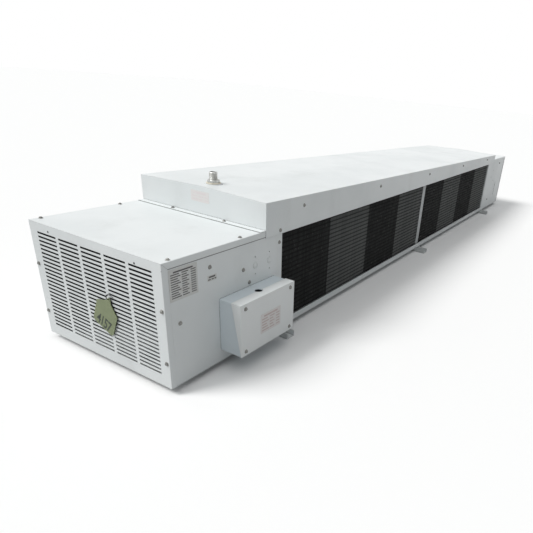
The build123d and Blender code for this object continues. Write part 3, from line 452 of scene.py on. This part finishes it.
def make_finish(slot, scene):
    """A material from the recipe that belongs to a slot, with the recipe's colours and numbers."""
    c = scene.cooler_finishes
    recipe, *choices = {
        "white_paint": (paint, c, c.paint, c.paint_shade, 1.0, 1.0),
        "pan_paint": (paint, c, c.paint, c.paint_shade, 1.1, 1.6),
        "box_paint": (paint, c, c.box_paint, (0.64, 0.70, 0.74), 0.8, 0.4),
        "cover_paint": (paint, c, c.cover_paint, (0.80, 0.82, 0.82), 0.6, 0.4),
        "rail_metal": (paint, c, (0.74, 0.76, 0.76), (0.62, 0.64, 0.64), 1.2, 0.3),
        "galvanised": (galvanised, c),
        "fin_black": (coated_fins, c, scene.cooler_coil),
        "copper": (plated, c.copper, (0.72, 0.38, 0.22), 0.26, (0.10, 0.05, 0.035), 120.0),
        "blade_aluminium": (plated, c.aluminium, (0.78, 0.78, 0.78), 0.28, (0.30, 0.30, 0.29), 60.0),
        "screw_zinc": (plated, c.zinc, (0.40, 0.40, 0.38), 0.26, (0.06, 0.055, 0.05), 300.0),
        "drain_zinc": (plated, c.drain_zinc, (0.80, 0.80, 0.77), 0.3, (0.20, 0.19, 0.16), 160.0),
        "guard_black": (enamel, c.black_enamel, 0.30),
        "motor_black": (enamel, c.black_enamel, 0.42),
        "gasket": (moulded, c.gasket, (0.82, 0.78, 0.68), 0.7, 250.0),
        "terminal_black": (moulded, (0.03, 0.03, 0.03), (0.08, 0.08, 0.08)),
        "tag_green": (moulded, c.tag, (0.42, 0.47, 0.28), 0.36),
        "tie_black": (moulded, (0.012, 0.012, 0.012), (0.05, 0.05, 0.05), 0.4),
        "tag_ink": (printed, c.tag_ink, (0.05, 0.07, 0.04), 0.45),
        "label_foil": (printed, c.label, (0.62, 0.60, 0.56)),
        "label_ink": (printed, c.label_ink, (0.13, 0.125, 0.12)),
        "label_faded": (printed, c.label_faded, (0.78, 0.76, 0.75)),
        "ink_faded": (printed, c.ink_faded, (0.70, 0.63, 0.62)),
        "ink_bleached": (printed, (0.75, 0.70, 0.70), (0.80, 0.77, 0.77)),
    }[slot]
    material, s = new_finish(slot)
    recipe(s, *choices)
    return material


# ------------------------------------------------------------------ building
def make_piece(name, shape, slot, stands_for=(), look=None, body=CABINET, smooth=38):
    """Link a mesh or bmesh as a piece that rides on a body; look is a finish other than the slot's."""
    mesh = shape if isinstance(shape, bpy.types.Mesh) else close_mesh(name, shape)
    obj = bpy.data.objects.new(name, mesh)
    bpy.context.scene.collection.objects.link(obj)
    mesh.materials.append(finish(look or slot))
    mesh.polygons.foreach_set("use_smooth", [True] * len(mesh.polygons))
    mesh.set_sharp_from_angle(angle=radians(smooth))
    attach(obj, body)
    if stands_for:
        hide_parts(*stands_for)


def close_mesh(name, bm):
    """Turn a bmesh into a mesh whose faces look outward."""
    bmesh.ops.recalc_face_normals(bm, faces=bm.faces)
    mesh = bpy.data.meshes.new(name)
    bm.to_mesh(mesh)
    bm.free()
    return mesh


def turns(count):
    """Equal steps of angle round a full circle."""
    return [tau * k / count for k in range(count)]


def circle(bm, centre, across, other, radius, sides, turn=0.0):
    """A ring of vertices in the plane of two directions."""
    steps = [a + turn for a in turns(sides)]
    return [bm.verts.new(centre + (across * cos(a) + other * sin(a)) * radius) for a in steps]


def skin(bm, rings, closed=False):
    """Faces between rings of vertices: closed joins the last to the first, else both ends are capped."""
    for a, b in zip(rings, rings[1:] + rings[:1] if closed else rings[1:]):
        for i in range(len(a)):
            j = (i + 1) % len(a)
            bm.faces.new((a[i], a[j], b[j], b[i]))
    if not closed:
        bm.faces.new(rings[0])
        bm.faces.new(rings[-1])


def tube(bm, path, radius, sides=10, closed=False):
    """A round wire or tube along a path."""
    points = [Vector(p) for p in path]
    last = len(points) - 1
    rings = []
    across = None
    for i, point in enumerate(points):
        before = points[i - 1] if closed or i else point
        after = points[(i + 1) % len(points)] if closed or i < last else point
        forward = (after - before).normalized()
        if across is None:
            across = forward.orthogonal().normalized()
        across = (across - forward * across.dot(forward)).normalized()
        rings.append(circle(bm, point, across, forward.cross(across), radius, sides))
    skin(bm, rings, closed)


def lathe(bm, profile, centre, axis, sides=40, closed=False, turn=0.0):
    """Turn a profile of (radius, distance along the axis); a radius of 0 closes an end."""
    across = axis.orthogonal().normalized()
    other = axis.cross(across)
    spots = [(Vector(centre) + axis * distance, radius) for radius, distance in profile]
    skin(bm, [circle(bm, spot, across, other, radius, sides, turn) for spot, radius in spots], closed)


def prism(bm, outline, origin, right, up, out, thickness, chamfer=0.0):
    """A plate: an outline of (right, up) pairs raised along out, its front edge chamfered."""
    points = [Vector(point) for point in outline]
    centre = sum(points, Vector((0, 0))) / len(points)
    rings = []
    for rise, inset in ((0.0, 0.0), (thickness - chamfer, 0.0), (thickness, chamfer)):
        level = [point + (centre - point).normalized() * inset for point in points]
        rings.append([bm.verts.new(origin + right * p.x + up * p.y + out * rise) for p in level])
    skin(bm, rings)


def rectangle(width, height):
    """The corners of a rectangle about its middle."""
    x, y = width / 2, height / 2
    return [(-x, -y), (x, -y), (x, y), (-x, y)]


def hinge_of(body):
    """Where the joint that carries a body stands."""
    return Vector(next(joint["pos_m"] for joint in frame["joints"] if joint["child"] == body))


def tube_levels(coil):
    """The heights of the tube rows."""
    low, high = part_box("coil_fins_near")
    rows = round((high.z - low.z) / coil.tube_pitch)
    return [low.z + (i + 0.5) * coil.tube_pitch for i in range(rows)]


def tube_columns(coil):
    """Where the two tube layers stand, front and rear."""
    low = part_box("coil_fins_near")[0]
    return [low.y + (i + 0.5) * coil.tube_pitch_deep for i in range(2)]


# ------------------------------------------------------------------ pieces
class COOLER_OT_sheet_metal(bpy.types.Operator):
    """Give every shown part of the cabinet, pan, rails, box and brackets its finish"""

    bl_idname = "cooler.sheet_metal"
    bl_label = "Sheet metal"

    def execute(self, context):
        for part in frame["record"]["subparts"]:
            materials = frame["nodes"][part["node"]].data.materials
            materials.clear()
            cover = part["node"] == "junction_box_cover"
            materials.append(finish("cover_paint" if cover else part["material_slot"]))
        return {"FINISHED"}


class COOLER_OT_coil_fins(bpy.types.Operator):
    """Stand thin rippled fins in both halves of the coil and run its tubes through them"""

    bl_idname = "cooler.coil_fins"
    bl_label = "Coil fins and tubes"

    def execute(self, context):
        coil = context.scene.cooler_coil
        for node in ("coil_fins_near", "coil_fins_far"):
            make_piece(f"{node}_sheets", self.fins(node, coil), "fin_black", (node,), smooth=15)
        inset = 0.0005
        start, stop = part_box("coil_fins_near")[0].x + inset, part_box("coil_fins_far")[1].x - inset
        bm = bmesh.new()
        for z in tube_levels(coil):
            for y in tube_columns(coil):
                tube(bm, [(start, y, z), (stop, y, z)], coil.tube_radius, 12)
        make_piece("coil_tubes", bm, "copper", look="motor_black")
        return {"FINISHED"}

    def fins(self, node, coil):
        """Upright sheets, each pressed out and in twice over every tube row."""
        low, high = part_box(node)
        count = int((high.x - low.x) / coil.fin_pitch)
        levels = 4 * round((high.z - low.z) / coil.tube_pitch)
        margin = coil.ripple + coil.fin_thickness
        step = (high.x - low.x - 2 * margin) / count
        verts, faces = [], []
        for i in range(count + 1):
            first = len(verts)
            for k in range(levels + 1):
                x = low.x + margin + i * step + coil.ripple * (0.5 - k % 2)
                z = low.z + (high.z - low.z) * k / levels
                verts += [(x + side, y, z) for y in (low.y, high.y) for side in (0.0, coil.fin_thickness)]
            for k in range(levels):
                a, b = first + 4 * k, first + 4 * (k + 1)
                faces += [(a, a + 1, b + 1, b), (a + 1, a + 3, b + 3, b + 1)]
                faces += [(a + 3, a + 2, b + 2, b + 3), (a + 2, a, b, b + 2)]
            top = first + 4 * levels
            faces += [(first, first + 2, first + 3, first + 1), (top, top + 1, top + 3, top + 2)]
        mesh = bpy.data.meshes.new(f"{node}_sheets")
        mesh.from_pydata(verts, [], faces)
        return mesh


class COOLER_OT_coil_pipes(bpy.types.Operator):
    """Bend the return bends at the louvred end and braze the two headers at the other"""

    bl_idname = "cooler.coil_pipes"
    bl_label = "Return bends and headers"

    def execute(self, context):
        coil = context.scene.cooler_coil
        front, rear = tube_columns(coil)
        low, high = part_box("coil_hairpins")
        middle, reach = (front + rear) / 2, (rear - front) / 2
        bend_x = low.x + coil.tube_radius + reach
        collar = [(0.0064, 0), (0.0078, 0.001), (0.0078, 0.004), (0.0064, 0.006)]
        bm = bmesh.new()
        for z in tube_levels(coil):
            turn = [pi * k / 12 for k in range(13)]
            bend = [(bend_x - reach * sin(a), middle - reach * cos(a), z) for a in turn]
            tube(bm, [(high.x, front, z), *bend, (high.x, rear, z)], coil.tube_radius, 12)
            for y in (front, rear):
                lathe(bm, collar, (high.x, y, z), END, 16)
        make_piece("return_bends", bm, "copper", ("coil_hairpins",))
        self.header("liquid_header", front, coil)
        self.header("suction_header", rear, coil)
        return {"FINISHED"}

    def header(self, node, column, coil):
        """An upright pipe with domed ends, a feeder to each tube row and an outlet with its collar."""
        low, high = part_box(node)
        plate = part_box("coil_fins_far")[1].x
        radius, pipe, dome_height = coil.header_radius, coil.outlet_radius, 0.006
        x = plate + coil.header_offset
        y = high.y - radius if node == "suction_header" else low.y + radius
        dome = [(radius * cos(a), dome_height * (1 - sin(a))) for a in (pi / 2.2, pi / 3, pi / 6, 0)]
        shell = [(r, low.z + d) for r, d in dome] + [(r, high.z - d) for r, d in reversed(dome)]
        bm = bmesh.new()
        lathe(bm, shell, (x, y, 0), UP, 32)
        levels = tube_levels(coil)
        for z in levels:
            feeder = [(plate, column, z), (x - 0.012, column, z), (x, y + (column - y) * 0.6, z)]
            tube(bm, feeder, coil.tube_radius, 12)
        outlet = (levels[1] + levels[2]) / 2
        tube(bm, [(x, y, outlet), (high.x, y, outlet)], pipe, 20)
        collar = [(pipe, 0), (0.0125, 0.002), (0.0115, 0.006), (pipe, 0.008)]
        lathe(bm, collar, (x + radius - 0.001, y, outlet), RIGHT, 20)
        make_piece(f"{node}_pipe", bm, "copper", (node,))


class EachFan:
    """Makes a piece for every fan: build() shapes it, and it stands for a node of the same number."""

    turning = False

    def execute(self, context):
        for number in FANS:
            node = f"{self.node}_{number}"
            fan = f"fan_{number}"
            bm = bmesh.new()
            self.build(bm, *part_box(node), hinge_of(fan), context.scene.cooler_fans)
            make_piece(f"{node}_{self.suffix}", bm, self.slot, (node,), body=fan if self.turning else CABINET)
        return {"FINISHED"}


class COOLER_OT_fan_guards(EachFan, bpy.types.Operator):
    """Weld a domed guard of round wire over each fan"""

    bl_idname = "cooler.fan_guards"
    bl_label = "Fan guards"
    node, suffix, slot = "fan_guard", "wire", "guard_black"

    def build(self, bm, low, high, hinge, fans):
        """Rings over crossed bars, and a disc in the middle."""
        centre = (low + high) / 2
        outer = (high.x - low.x) / 2 - fans.guard_wire
        face = low.y + fans.guard_wire
        rise = high.y - low.y - 2 * fans.guard_wire - 2 * fans.guard_bar

        def dome(share, a, lift=0.0):
            y = face + rise * (1 - share**2) + lift
            return (centre.x + outer * share * cos(a), y, centre.z + outer * share * sin(a))

        for i in range(1, fans.guard_rings + 1):
            share = i / fans.guard_rings
            ring = [dome(share, a, 2 * fans.guard_bar * (share < 1)) for a in turns(64)]
            tube(bm, ring, fans.guard_wire, 6, closed=True)
        for k in range(4):
            tube(bm, [dome(i / 8, pi * k / 4) for i in range(-8, 9)], fans.guard_bar, 6)
        disc = [(0.016, 0), (0.016, 0.001), (0.013, 0.0018)]
        lathe(bm, disc, (centre.x, high.y - 0.002, centre.z), REAR, 24)


class COOLER_OT_fans(EachFan, bpy.types.Operator):
    """Press the fan blades and fit them to their hubs and shafts"""

    bl_idname = "cooler.fans"
    bl_label = "Fan blades"
    node, suffix, slot = "fan_blade", "pressed", "blade_aluminium"
    turning = True

    def build(self, bm, low, high, hinge, fans):
        """Four blades round a hub that is turned in one piece, with the shaft's end in it."""
        for k in range(4):
            self.blade(bm, hinge, (high.x - low.x) / 2, pi / 2 * k, fans)
        hub = [(0.006, 0.0115), (0.0125, 0.0120), (0.0130, 0.0095), (0.024, 0.0085), (0.0278, 0.005)]
        hub += [(0.0288, 0.0), (0.0288, -0.0105), (0.0270, -0.0120), (0.0045, -0.0120)]
        lathe(bm, hub, hinge, REAR, 40)
        end = low.y - hinge.y
        shaft = [(0.0, 0.0125), (0.0034, 0.0128), (0.0039, 0.0122), (0.0039, end), (0.0, end)]
        lathe(bm, shaft, hinge, REAR, 20)

    def blade(self, bm, centre, radius, turn, fans):
        """One cambered blade with rounded corners, as a thin closed sheet."""
        across_steps, out_steps = 14, 16
        root, clearance = 0.0265, 0.0004
        narrow, rounding_starts, rounding_power = 0.72, 0.84, 2.4
        sheets = []
        for side in (0, 1):
            rows = []
            for i in range(out_steps + 1):
                u = i / out_steps
                width = fans.blade_root + (fans.blade_tip - fans.blade_root) * u**0.8
                past = max(0.0, (u - rounding_starts) / (1 - rounding_starts))
                width *= narrow + (1 - narrow) * sqrt(max(0.0, 1 - past**rounding_power))
                row = []
                for j in range(across_steps + 1):
                    v = 2 * j / across_steps - 1
                    chord = v * width / 2
                    rise = fans.blade_camber * width * (1 - v * v) + side * fans.blade_sheet
                    along = chord * cos(fans.blade_pitch) - rise * sin(fans.blade_pitch)
                    up = chord * sin(fans.blade_pitch) + rise * cos(fans.blade_pitch)
                    limit = sqrt(max(0.0, (radius - clearance) ** 2 - along**2))
                    out = root + (limit - root) * u
                    x = out * cos(turn) - along * sin(turn)
                    z = -(out * sin(turn) + along * cos(turn))
                    row.append(bm.verts.new((centre.x + x, centre.y + up, centre.z + z)))
                rows.append(row)
            sheets.append(rows)
        below, above = sheets
        for i in range(out_steps):
            for j in range(across_steps):
                bm.faces.new((below[i][j], below[i][j + 1], below[i + 1][j + 1], below[i + 1][j]))
                bm.faces.new((above[i][j], above[i + 1][j], above[i + 1][j + 1], above[i][j + 1]))
        for i in range(out_steps):
            for j in (0, across_steps):
                bm.faces.new((below[i][j], below[i + 1][j], above[i + 1][j], above[i][j]))
        for j in range(across_steps):
            for i in (0, out_steps):
                bm.faces.new((below[i][j], below[i][j + 1], above[i][j + 1], above[i][j]))


class COOLER_OT_motors(EachFan, bpy.types.Operator):
    """Turn the ribbed shells of the fan motors"""

    bl_idname = "cooler.motors"
    bl_label = "Fan motors"
    node, suffix, slot = "fan_motor", "shell", "motor_black"

    def build(self, bm, low, high, hinge, fans):
        """A boss and front shield, the ribbed shell and the rear shield with its four bolts."""
        radius = (high.x - low.x) / 2
        boss, front, back = high.y, high.y - 0.003, low.y
        profile = [(0.0045, boss), (0.0145, boss), (0.0150, boss - 0.0008), (0.0150, front)]
        profile += [(radius - 0.009, front), (radius - 0.003, front - 0.004), (radius - 0.003, front - 0.016)]
        first, last = front - 0.018, back + 0.022
        pitch = (first - last) / fans.motor_ribs
        for i in range(fans.motor_ribs):
            y = first - i * pitch
            profile += [(radius - 0.004, y), (radius, y - pitch * 0.2), (radius, y - pitch * 0.5)]
            profile += [(radius - 0.004, y - pitch * 0.7)]
        profile += [(radius - 0.003, back + 0.018), (radius - 0.004, back + 0.008)]
        profile += [(radius - 0.012, back + 0.001)]
        profile += [(0.012, back), (0.011, back + 0.0015), (0.0, back + 0.0015)]
        lathe(bm, profile, (hinge.x, 0, hinge.z), REAR, 48)
        bolt = [(0.0028, 0.004), (0.0028, 0.0005), (0.0022, 0.0)]
        reach = radius - 0.008
        for a in turns(4):
            a += pi / 4
            lathe(bm, bolt, (hinge.x + reach * cos(a), back + 0.0005, hinge.z + reach * sin(a)), REAR, 12)


class COOLER_OT_screws(bpy.types.Operator):
    """Put a flanged hexagon head wherever the frame has a screw"""

    bl_idname = "cooler.screws"
    bl_label = "Screws"

    def execute(self, context):
        details = context.scene.cooler_details
        radius = details.washer_radius
        middle = Vector((0, 0, 0.2))
        for node in ("end_cover_screws", "cabinet_screws", "pan_screws", "junction_box_screws"):
            bm = bmesh.new()
            for order, (low, high) in enumerate(self.heads(node)):
                size = high - low
                axis = min(range(3), key=lambda i: size[i])
                seat = (low + high) / 2
                out = Vector((0, 0, 0))
                out[axis] = 1 if seat[axis] > middle[axis] else -1
                seat[axis] = low[axis] if out[axis] > 0 else high[axis]
                self.head(bm, seat, out, size[axis], radius, order * 0.7)
            make_piece(f"{node}_heads", bm, "screw_zinc", (node,), smooth=25)
        self.rivets(details.rivet_radius)
        bm = bmesh.new()
        corner = Vector((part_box("coil_fins_near")[0].x - 0.015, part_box("drain_pan")[0].y, 0.3651))
        self.head(bm, corner, FRONT, 0.004, radius, 0.4)
        make_piece("apron_corner_screw", bm, "screw_zinc", smooth=25)
        return {"FINISHED"}

    def rivets(self, radius):
        """Two dark rivets above the louvres of the near end cover."""
        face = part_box("end_cover_near")[0].x
        dome = [(1.0, 0.0), (0.9, 0.0006), (0.55, 0.0012), (0.3, 0.0012), (0.25, 0.0003)]
        bm = bmesh.new()
        for y, z in ((0.1794, 0.3573), (-0.1708, 0.3540)):
            lathe(bm, [(radius * share, rise) for share, rise in dome], (face, y, z), END, 20)
        make_piece("end_cover_rivets", bm, "screw_zinc", look="motor_black")

    def heads(self, node):
        """The corners of the box round each separate head in a node, in a fixed order."""
        bm = bmesh.new()
        bm.from_mesh(frame["nodes"][node].data)
        bmesh.ops.remove_doubles(bm, verts=bm.verts, dist=1e-5)
        left = set(bm.verts)
        boxes = []
        while left:
            queue, found = [left.pop()], []
            while queue:
                vert = queue.pop()
                found.append(vert.co.copy())
                joined = {edge.other_vert(vert) for edge in vert.link_edges} & left
                left -= joined
                queue += joined
            boxes.append([Vector(end(p[i] for p in found) for i in range(3)) for end in (min, max)])
        bm.free()
        return sorted(boxes, key=lambda box: tuple(box[0]))

    def head(self, bm, seat, out, height, radius, turn):
        """A round flange below a hexagon with a dished top."""
        flange = [(radius, 0.0), (radius, 0.0004), (radius * 0.93, 0.0009), (0.0048, 0.0013)]
        wide, rim = 0.00455, height - 0.0006
        hexagon = [(wide, 0.0010), (wide, rim), (0.0040, height - 0.0001), (0.0030, rim)]
        lathe(bm, flange, seat, out, 24)
        lathe(bm, hexagon, seat, out, 6, turn=turn)


class COOLER_OT_drain(bpy.types.Operator):
    """Cut the thread of the drain nipple and chamfer its locknut"""

    bl_idname = "cooler.drain"
    bl_label = "Drain fitting"

    def execute(self, context):
        pitch = context.scene.cooler_details.thread_pitch
        low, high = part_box("drain_nipple")
        nut_low, nut_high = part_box("drain_locknut")
        ring_low, ring_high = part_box("drain_gasket")
        centre = (nut_low + nut_high) / 2
        centre.z = 0
        outer, bore, collar, foot = 0.01335, 0.01045, 0.0170, low.z + 0.004
        profile = [(bore, low.z), (collar, low.z), (collar, foot), (outer - 0.0004, foot)]
        z = nut_low.z - 0.002
        while z < high.z - 0.0025:
            profile += [(outer - 0.0009, z), (outer, z + pitch * 0.45), (outer, z + pitch * 0.55)]
            z += pitch
        profile += [(outer - 0.0009, z), (outer - 0.0011, high.z - 0.0003), (outer - 0.0015, high.z)]
        profile += [(bore, high.z), (bore, low.z + 0.001)]
        bm = bmesh.new()
        lathe(bm, profile, centre, UP, 48, closed=True)
        make_piece("drain_nipple_threaded", bm, "screw_zinc", ("drain_nipple",), "drain_zinc")
        self.nut(centre, nut_low, nut_high, outer)
        radius, inner = (ring_high.x - ring_low.x) / 2 - 0.0003, outer + 0.0005
        soft = [(inner, ring_low.z), (radius - 0.0008, ring_low.z), (radius, ring_low.z + 0.0009)]
        soft += [(radius, ring_high.z - 0.0009), (radius - 0.0008, ring_high.z), (inner, ring_high.z)]
        bm = bmesh.new()
        lathe(bm, soft, centre, UP, 56, closed=True)
        make_piece("drain_gasket_ring", bm, "gasket", ("drain_gasket",))
        return {"FINISHED"}

    def nut(self, centre, low, high, outer):
        """A hexagon with a bore, its corners turned off top and bottom."""
        flat, chamfer = (high.y - low.y) / 2, 0.0013
        corner = flat / cos(pi / 6)
        limits = [(low.z, flat), (low.z + chamfer, corner), (high.z - chamfer, corner), (high.z, flat)]
        limits += [(high.z, outer + 0.0016), (high.z - 0.0012, outer + 0.0002), (low.z, outer + 0.0002)]
        bm = bmesh.new()
        rings = []
        for z, limit in limits:
            ring = []
            for a in turns(48):
                reach = min(limit, flat / cos(a % (pi / 3) - pi / 6))
                ring.append(bm.verts.new(centre + Vector((sin(a) * reach, cos(a) * reach, z))))
            rings.append(ring)
        skin(bm, rings, closed=True)
        make_piece("drain_locknut_chamfered", bm, "screw_zinc", ("drain_locknut",), "drain_zinc", smooth=20)


class COOLER_OT_labels(bpy.types.Operator):
    """Stick the blank labels and score the knockouts"""

    bl_idname = "cooler.labels"
    bl_label = "Labels and knockouts"

    def execute(self, context):
        details = context.scene.cooler_details
        side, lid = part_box("side_panel_near")[0].y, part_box("junction_box_cover")[0].y
        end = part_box("end_cover_near")[0].x
        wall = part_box("drain_pan")[0].x + details.pan_flange
        on_side, on_wall = (RIGHT, FRONT), (FRONT, END)
        plate, rating = (0.0933, 0.0858), (0.0341, 0.0165)
        for name, centre, size, sheet, ink, count, (right, out) in (
            ("data_plate", (end + 0.0664, side, 0.3099), plate, "label_foil", "label_ink", 11, on_side),
            ("rating_sticker", (end + 0.1638, side, 0.2930), rating, "label_foil", "label_ink", 1, on_side),
            ("cover_sticker", (-1.3745, lid, 0.132), (0.095, 0.064), "label_faded", "ink_faded", 5, on_side),
            ("pan_sticker", (wall, -0.002, 0.432), (0.078, 0.035), "label_faded", "ink_bleached", 2, on_wall),
        ):
            centre = Vector(centre)
            self.label(name, centre, size, sheet, details.label_sheet, right, out)
            self.rows(f"{name}_rows", centre + out * details.label_sheet, size, ink, count, right, out)
        radius = details.knockout_radius
        disc = [(radius, 0), (radius, 0.0002), (radius - 0.0006, 0.0005), (0.0, 0.0005)]
        bm = bmesh.new()
        for x in (-1.3512, -1.2842):
            lathe(bm, disc, (x, side, 0.2795), FRONT, 40)
        make_piece("knockouts", bm, "white_paint")
        return {"FINISHED"}

    def label(self, name, centre, size, look, sheet, right, out):
        """A blank sheet with rounded corners."""
        radius = 0.0018
        outline = []
        for quarter, (x, y) in enumerate(rectangle(size[0] - 2 * radius, size[1] - 2 * radius), start=2):
            for k in range(5):
                a = pi / 2 * quarter + pi / 8 * k
                outline.append((x + radius * cos(a), y + radius * sin(a)))
        bm = bmesh.new()
        prism(bm, outline, centre, right, UP, out, sheet, sheet * 0.3)
        make_piece(name, bm, "white_paint", look=look)

    def rows(self, name, centre, size, look, count, right, out):
        """Blank ruled fields: a header band above rows of short and long bars."""
        width, height = size
        pitch = height * 0.86 / (count + 1)
        bm = bmesh.new()
        for i in range(count + 1):
            bars, share = [(0.06, 0.30 + 0.05 * (i % 3)), (0.44, 0.62 + 0.06 * (i % 2)), (0.76, 0.94)], 0.42
            if i == 0:
                bars, share = [(0.16, 0.84)], 0.62
            row = centre + UP * (height * 0.43 - pitch * (i + 0.5))
            for start, end in bars:
                middle = row + right * (width * ((start + end) / 2 - 0.5))
                prism(bm, rectangle(width * (end - start), pitch * share), middle, right, UP, out, 0.0001)
        make_piece(name, bm, "white_paint", look=look)


class COOLER_OT_tag(bpy.types.Operator):
    """Number the hanging tag, thicken its neck and tie it to the louvres"""

    bl_idname = "cooler.tag"
    bl_label = "Hanging tag"

    def execute(self, context):
        details = context.scene.cooler_details
        hinge, low = hinge_of("tag"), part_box("hang_tag")[0]
        there = Matrix.Translation(hinge)
        lean = there @ Matrix.Rotation(details.tag_lean, 4, "X") @ there.inverted()
        self.digits(details, hinge, low.x - 0.0001, lean)
        hole = lean @ (hinge - UP * 0.0016)
        lip = [(0.0027, 0.0), (0.0052, 0.0), (0.0050, 0.0006), (0.0030, 0.0006)]
        bm = bmesh.new()
        lathe(bm, lip, (low.x, hole.y, hole.z), END, 28, closed=True)
        make_piece("hang_tag_eyelet", bm, "tag_green", body="tag")
        self.tie(details.tie_wire)
        return {"FINISHED"}

    def digits(self, details, hinge, face, lean):
        """Narrow plain digits, laid on the tag's face and leaning with it."""
        words = bpy.data.curves.new("hang_tag_digits", "FONT")
        words.body = details.tag_number
        words.size = details.digit_height
        words.align_x = "CENTER"
        words.align_y = "CENTER"
        words.extrude = 0.00008
        words.offset = 0.0009
        words.space_character = 0.92
        words.materials.append(finish("tag_ink"))
        obj = bpy.data.objects.new("hang_tag_digits", words)
        bpy.context.scene.collection.objects.link(obj)
        height, narrow = hinge.z - details.digit_drop, 0.64
        upright = Matrix(((0, 0, -1, face), (-1, 0, 0, hinge.y), (0, 1, 0, height), (0, 0, 0, 1)))
        obj.matrix_world = lean @ upright @ Matrix.Diagonal((narrow, 1, 1, 1))
        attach(obj, "tag")

    def tie(self, wire):
        """A loop of wire with a knot and a loose tail."""
        low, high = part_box("tag_tie")
        centre, radius = (low + high) / 2, (high.z - low.z) / 2 - wire
        loop = [centre + Vector((radius * cos(a), 0.0006 * sin(2 * a), radius * sin(a))) for a in turns(48)]
        knot = centre + (UP + END) * (radius * 0.7)
        tail = [(0, 0, 0), (0.001, -0.006, 0.003), (0.002, -0.014, 0.002), (0.003, -0.022, -0.002)]
        bm = bmesh.new()
        tube(bm, loop, wire, 10, closed=True)
        prism(bm, rectangle(0.0042, 0.0034), knot + RIGHT * 0.0016, FRONT, UP, END, 0.0032, 0.0006)
        tube(bm, [knot + Vector(p) for p in tail], 0.0008, 8)
        make_piece("tag_tie_loop", bm, "tie_black", ("tag_tie",))


# ------------------------------------------------------------------ stage
class COOLER_OT_stage(bpy.types.Operator):
    """Lay the floor, light it softly and stand the camera"""

    bl_idname = "cooler.stage"
    bl_label = "Floor, light and camera"

    def execute(self, context):
        scene = context.scene
        stage = scene.cooler_stage
        self.floor(stage.floor_size)
        self.sky(scene, stage.sky)
        self.lamp("key", stage.sun, stage.sun_spread, stage.sun_from)
        self.lamp("overhead", stage.top, stage.top_spread, stage.top_from)
        view = bpy.data.cameras.new("camera")
        view.lens = stage.camera_lens
        view.sensor_width = 36.0
        view.shift_x, view.shift_y = stage.camera_shift
        view.clip_end = 200.0
        camera = bpy.data.objects.new("camera", view)
        camera.location = stage.camera_place
        camera.rotation_euler = Euler(stage.camera_turn)
        scene.collection.objects.link(camera)
        scene.camera = camera
        scene.view_settings.view_transform = "Standard"
        return {"FINISHED"}

    def lamp(self, name, strength, spread, direction):
        """A distant soft light that shines from a direction."""
        light = bpy.data.lights.new(name, "SUN")
        light.energy = strength
        light.angle = spread
        light.color = (1.0, 0.995, 0.985)
        lamp = bpy.data.objects.new(name, light)
        lamp.rotation_euler = Vector(direction).to_track_quat("Z", "Y").to_euler()
        bpy.context.scene.collection.objects.link(lamp)

    def seen(self, s):
        """1 where the camera or a reflection looks, 0 for the light that reaches the cooler."""
        kinds = ("Camera", "Glossy", "Transmission")
        camera, glossy, through = (s.node("ShaderNodeLightPath", output=f"Is {kind} Ray") for kind in kinds)
        return s.math("MAXIMUM", s.math("MAXIMUM", camera, glossy), through)

    def floor(self, size):
        """A white floor just below the hanger rails; the light it throws back is greyer than it looks."""
        mesh = bpy.data.meshes.new("floor")
        mesh.from_pydata([(x, y, 0) for x, y in rectangle(size, size)], [], [(0, 1, 2, 3)])
        floor = bpy.data.objects.new("floor", mesh)
        floor.location.z = -0.0004
        bpy.context.scene.collection.objects.link(floor)
        material, s = new_finish("floor")
        colour = s.mix((0.50, 0.50, 0.50), (0.99, 0.99, 0.99), self.seen(s))
        s.surface(Base_Color=colour, Roughness=0.9, Specular_IOR_Level=0.0)
        mesh.materials.append(material)

    def sky(self, scene, fill):
        """A background that looks white and lights the cooler weakly from all round."""
        world = bpy.data.worlds.new("studio")
        world.use_nodes = True
        scene.world = world
        s = Shading(world.node_tree)
        seen = self.seen(s)
        colour = s.mix((0.95, 0.985, 1.0), (1.0, 1.0, 1.0), seen)
        sockets = {"Color": colour, "Strength": seen * (1 - fill) + fill}
        s.finish("ShaderNodeOutputWorld", s.node("ShaderNodeBackground", sockets=sockets))


# ------------------------------------------------------------------ add-on
groups = {
    "cooler_finishes": CoolerFinishes,
    "cooler_coil": CoolerCoil,
    "cooler_fans": CoolerFans,
    "cooler_details": CoolerDetails,
    "cooler_stage": CoolerStage,
}
steps = (
    COOLER_OT_sheet_metal,
    COOLER_OT_coil_fins,
    COOLER_OT_coil_pipes,
    COOLER_OT_fan_guards,
    COOLER_OT_fans,
    COOLER_OT_motors,
    COOLER_OT_screws,
    COOLER_OT_drain,
    COOLER_OT_labels,
    COOLER_OT_tag,
    COOLER_OT_stage,
)


class COOLER_PT_parts(bpy.types.Panel):
    """Lists the cooler's pieces and settings"""

    bl_idname = "COOLER_PT_parts"
    bl_label = "Unit cooler"
    bl_space_type = "VIEW_3D"
    bl_region_type = "UI"
    bl_category = "Cooler"

    def draw(self, context):
        for step in steps:
            self.layout.operator(step.bl_idname)
        for name, group in groups.items():
            box = self.layout.box()
            for setting in group.__annotations__:
                box.prop(getattr(context.scene, name), setting)


def register():
    for name, group in groups.items():
        bpy.utils.register_class(group)
        setattr(bpy.types.Scene, name, PointerProperty(type=group))
    for step in steps:
        bpy.utils.register_class(step)
    bpy.utils.register_class(COOLER_PT_parts)


def unregister():
    bpy.utils.unregister_class(COOLER_PT_parts)
    for step in reversed(steps):
        bpy.utils.unregister_class(step)
    for name, group in groups.items():
        delattr(bpy.types.Scene, name)
        bpy.utils.unregister_class(group)


def main():
    register()
    for step in steps:
        group, name = step.bl_idname.split(".")
        getattr(getattr(bpy.ops, group), name)()


if __name__ == "__main__":
    main()
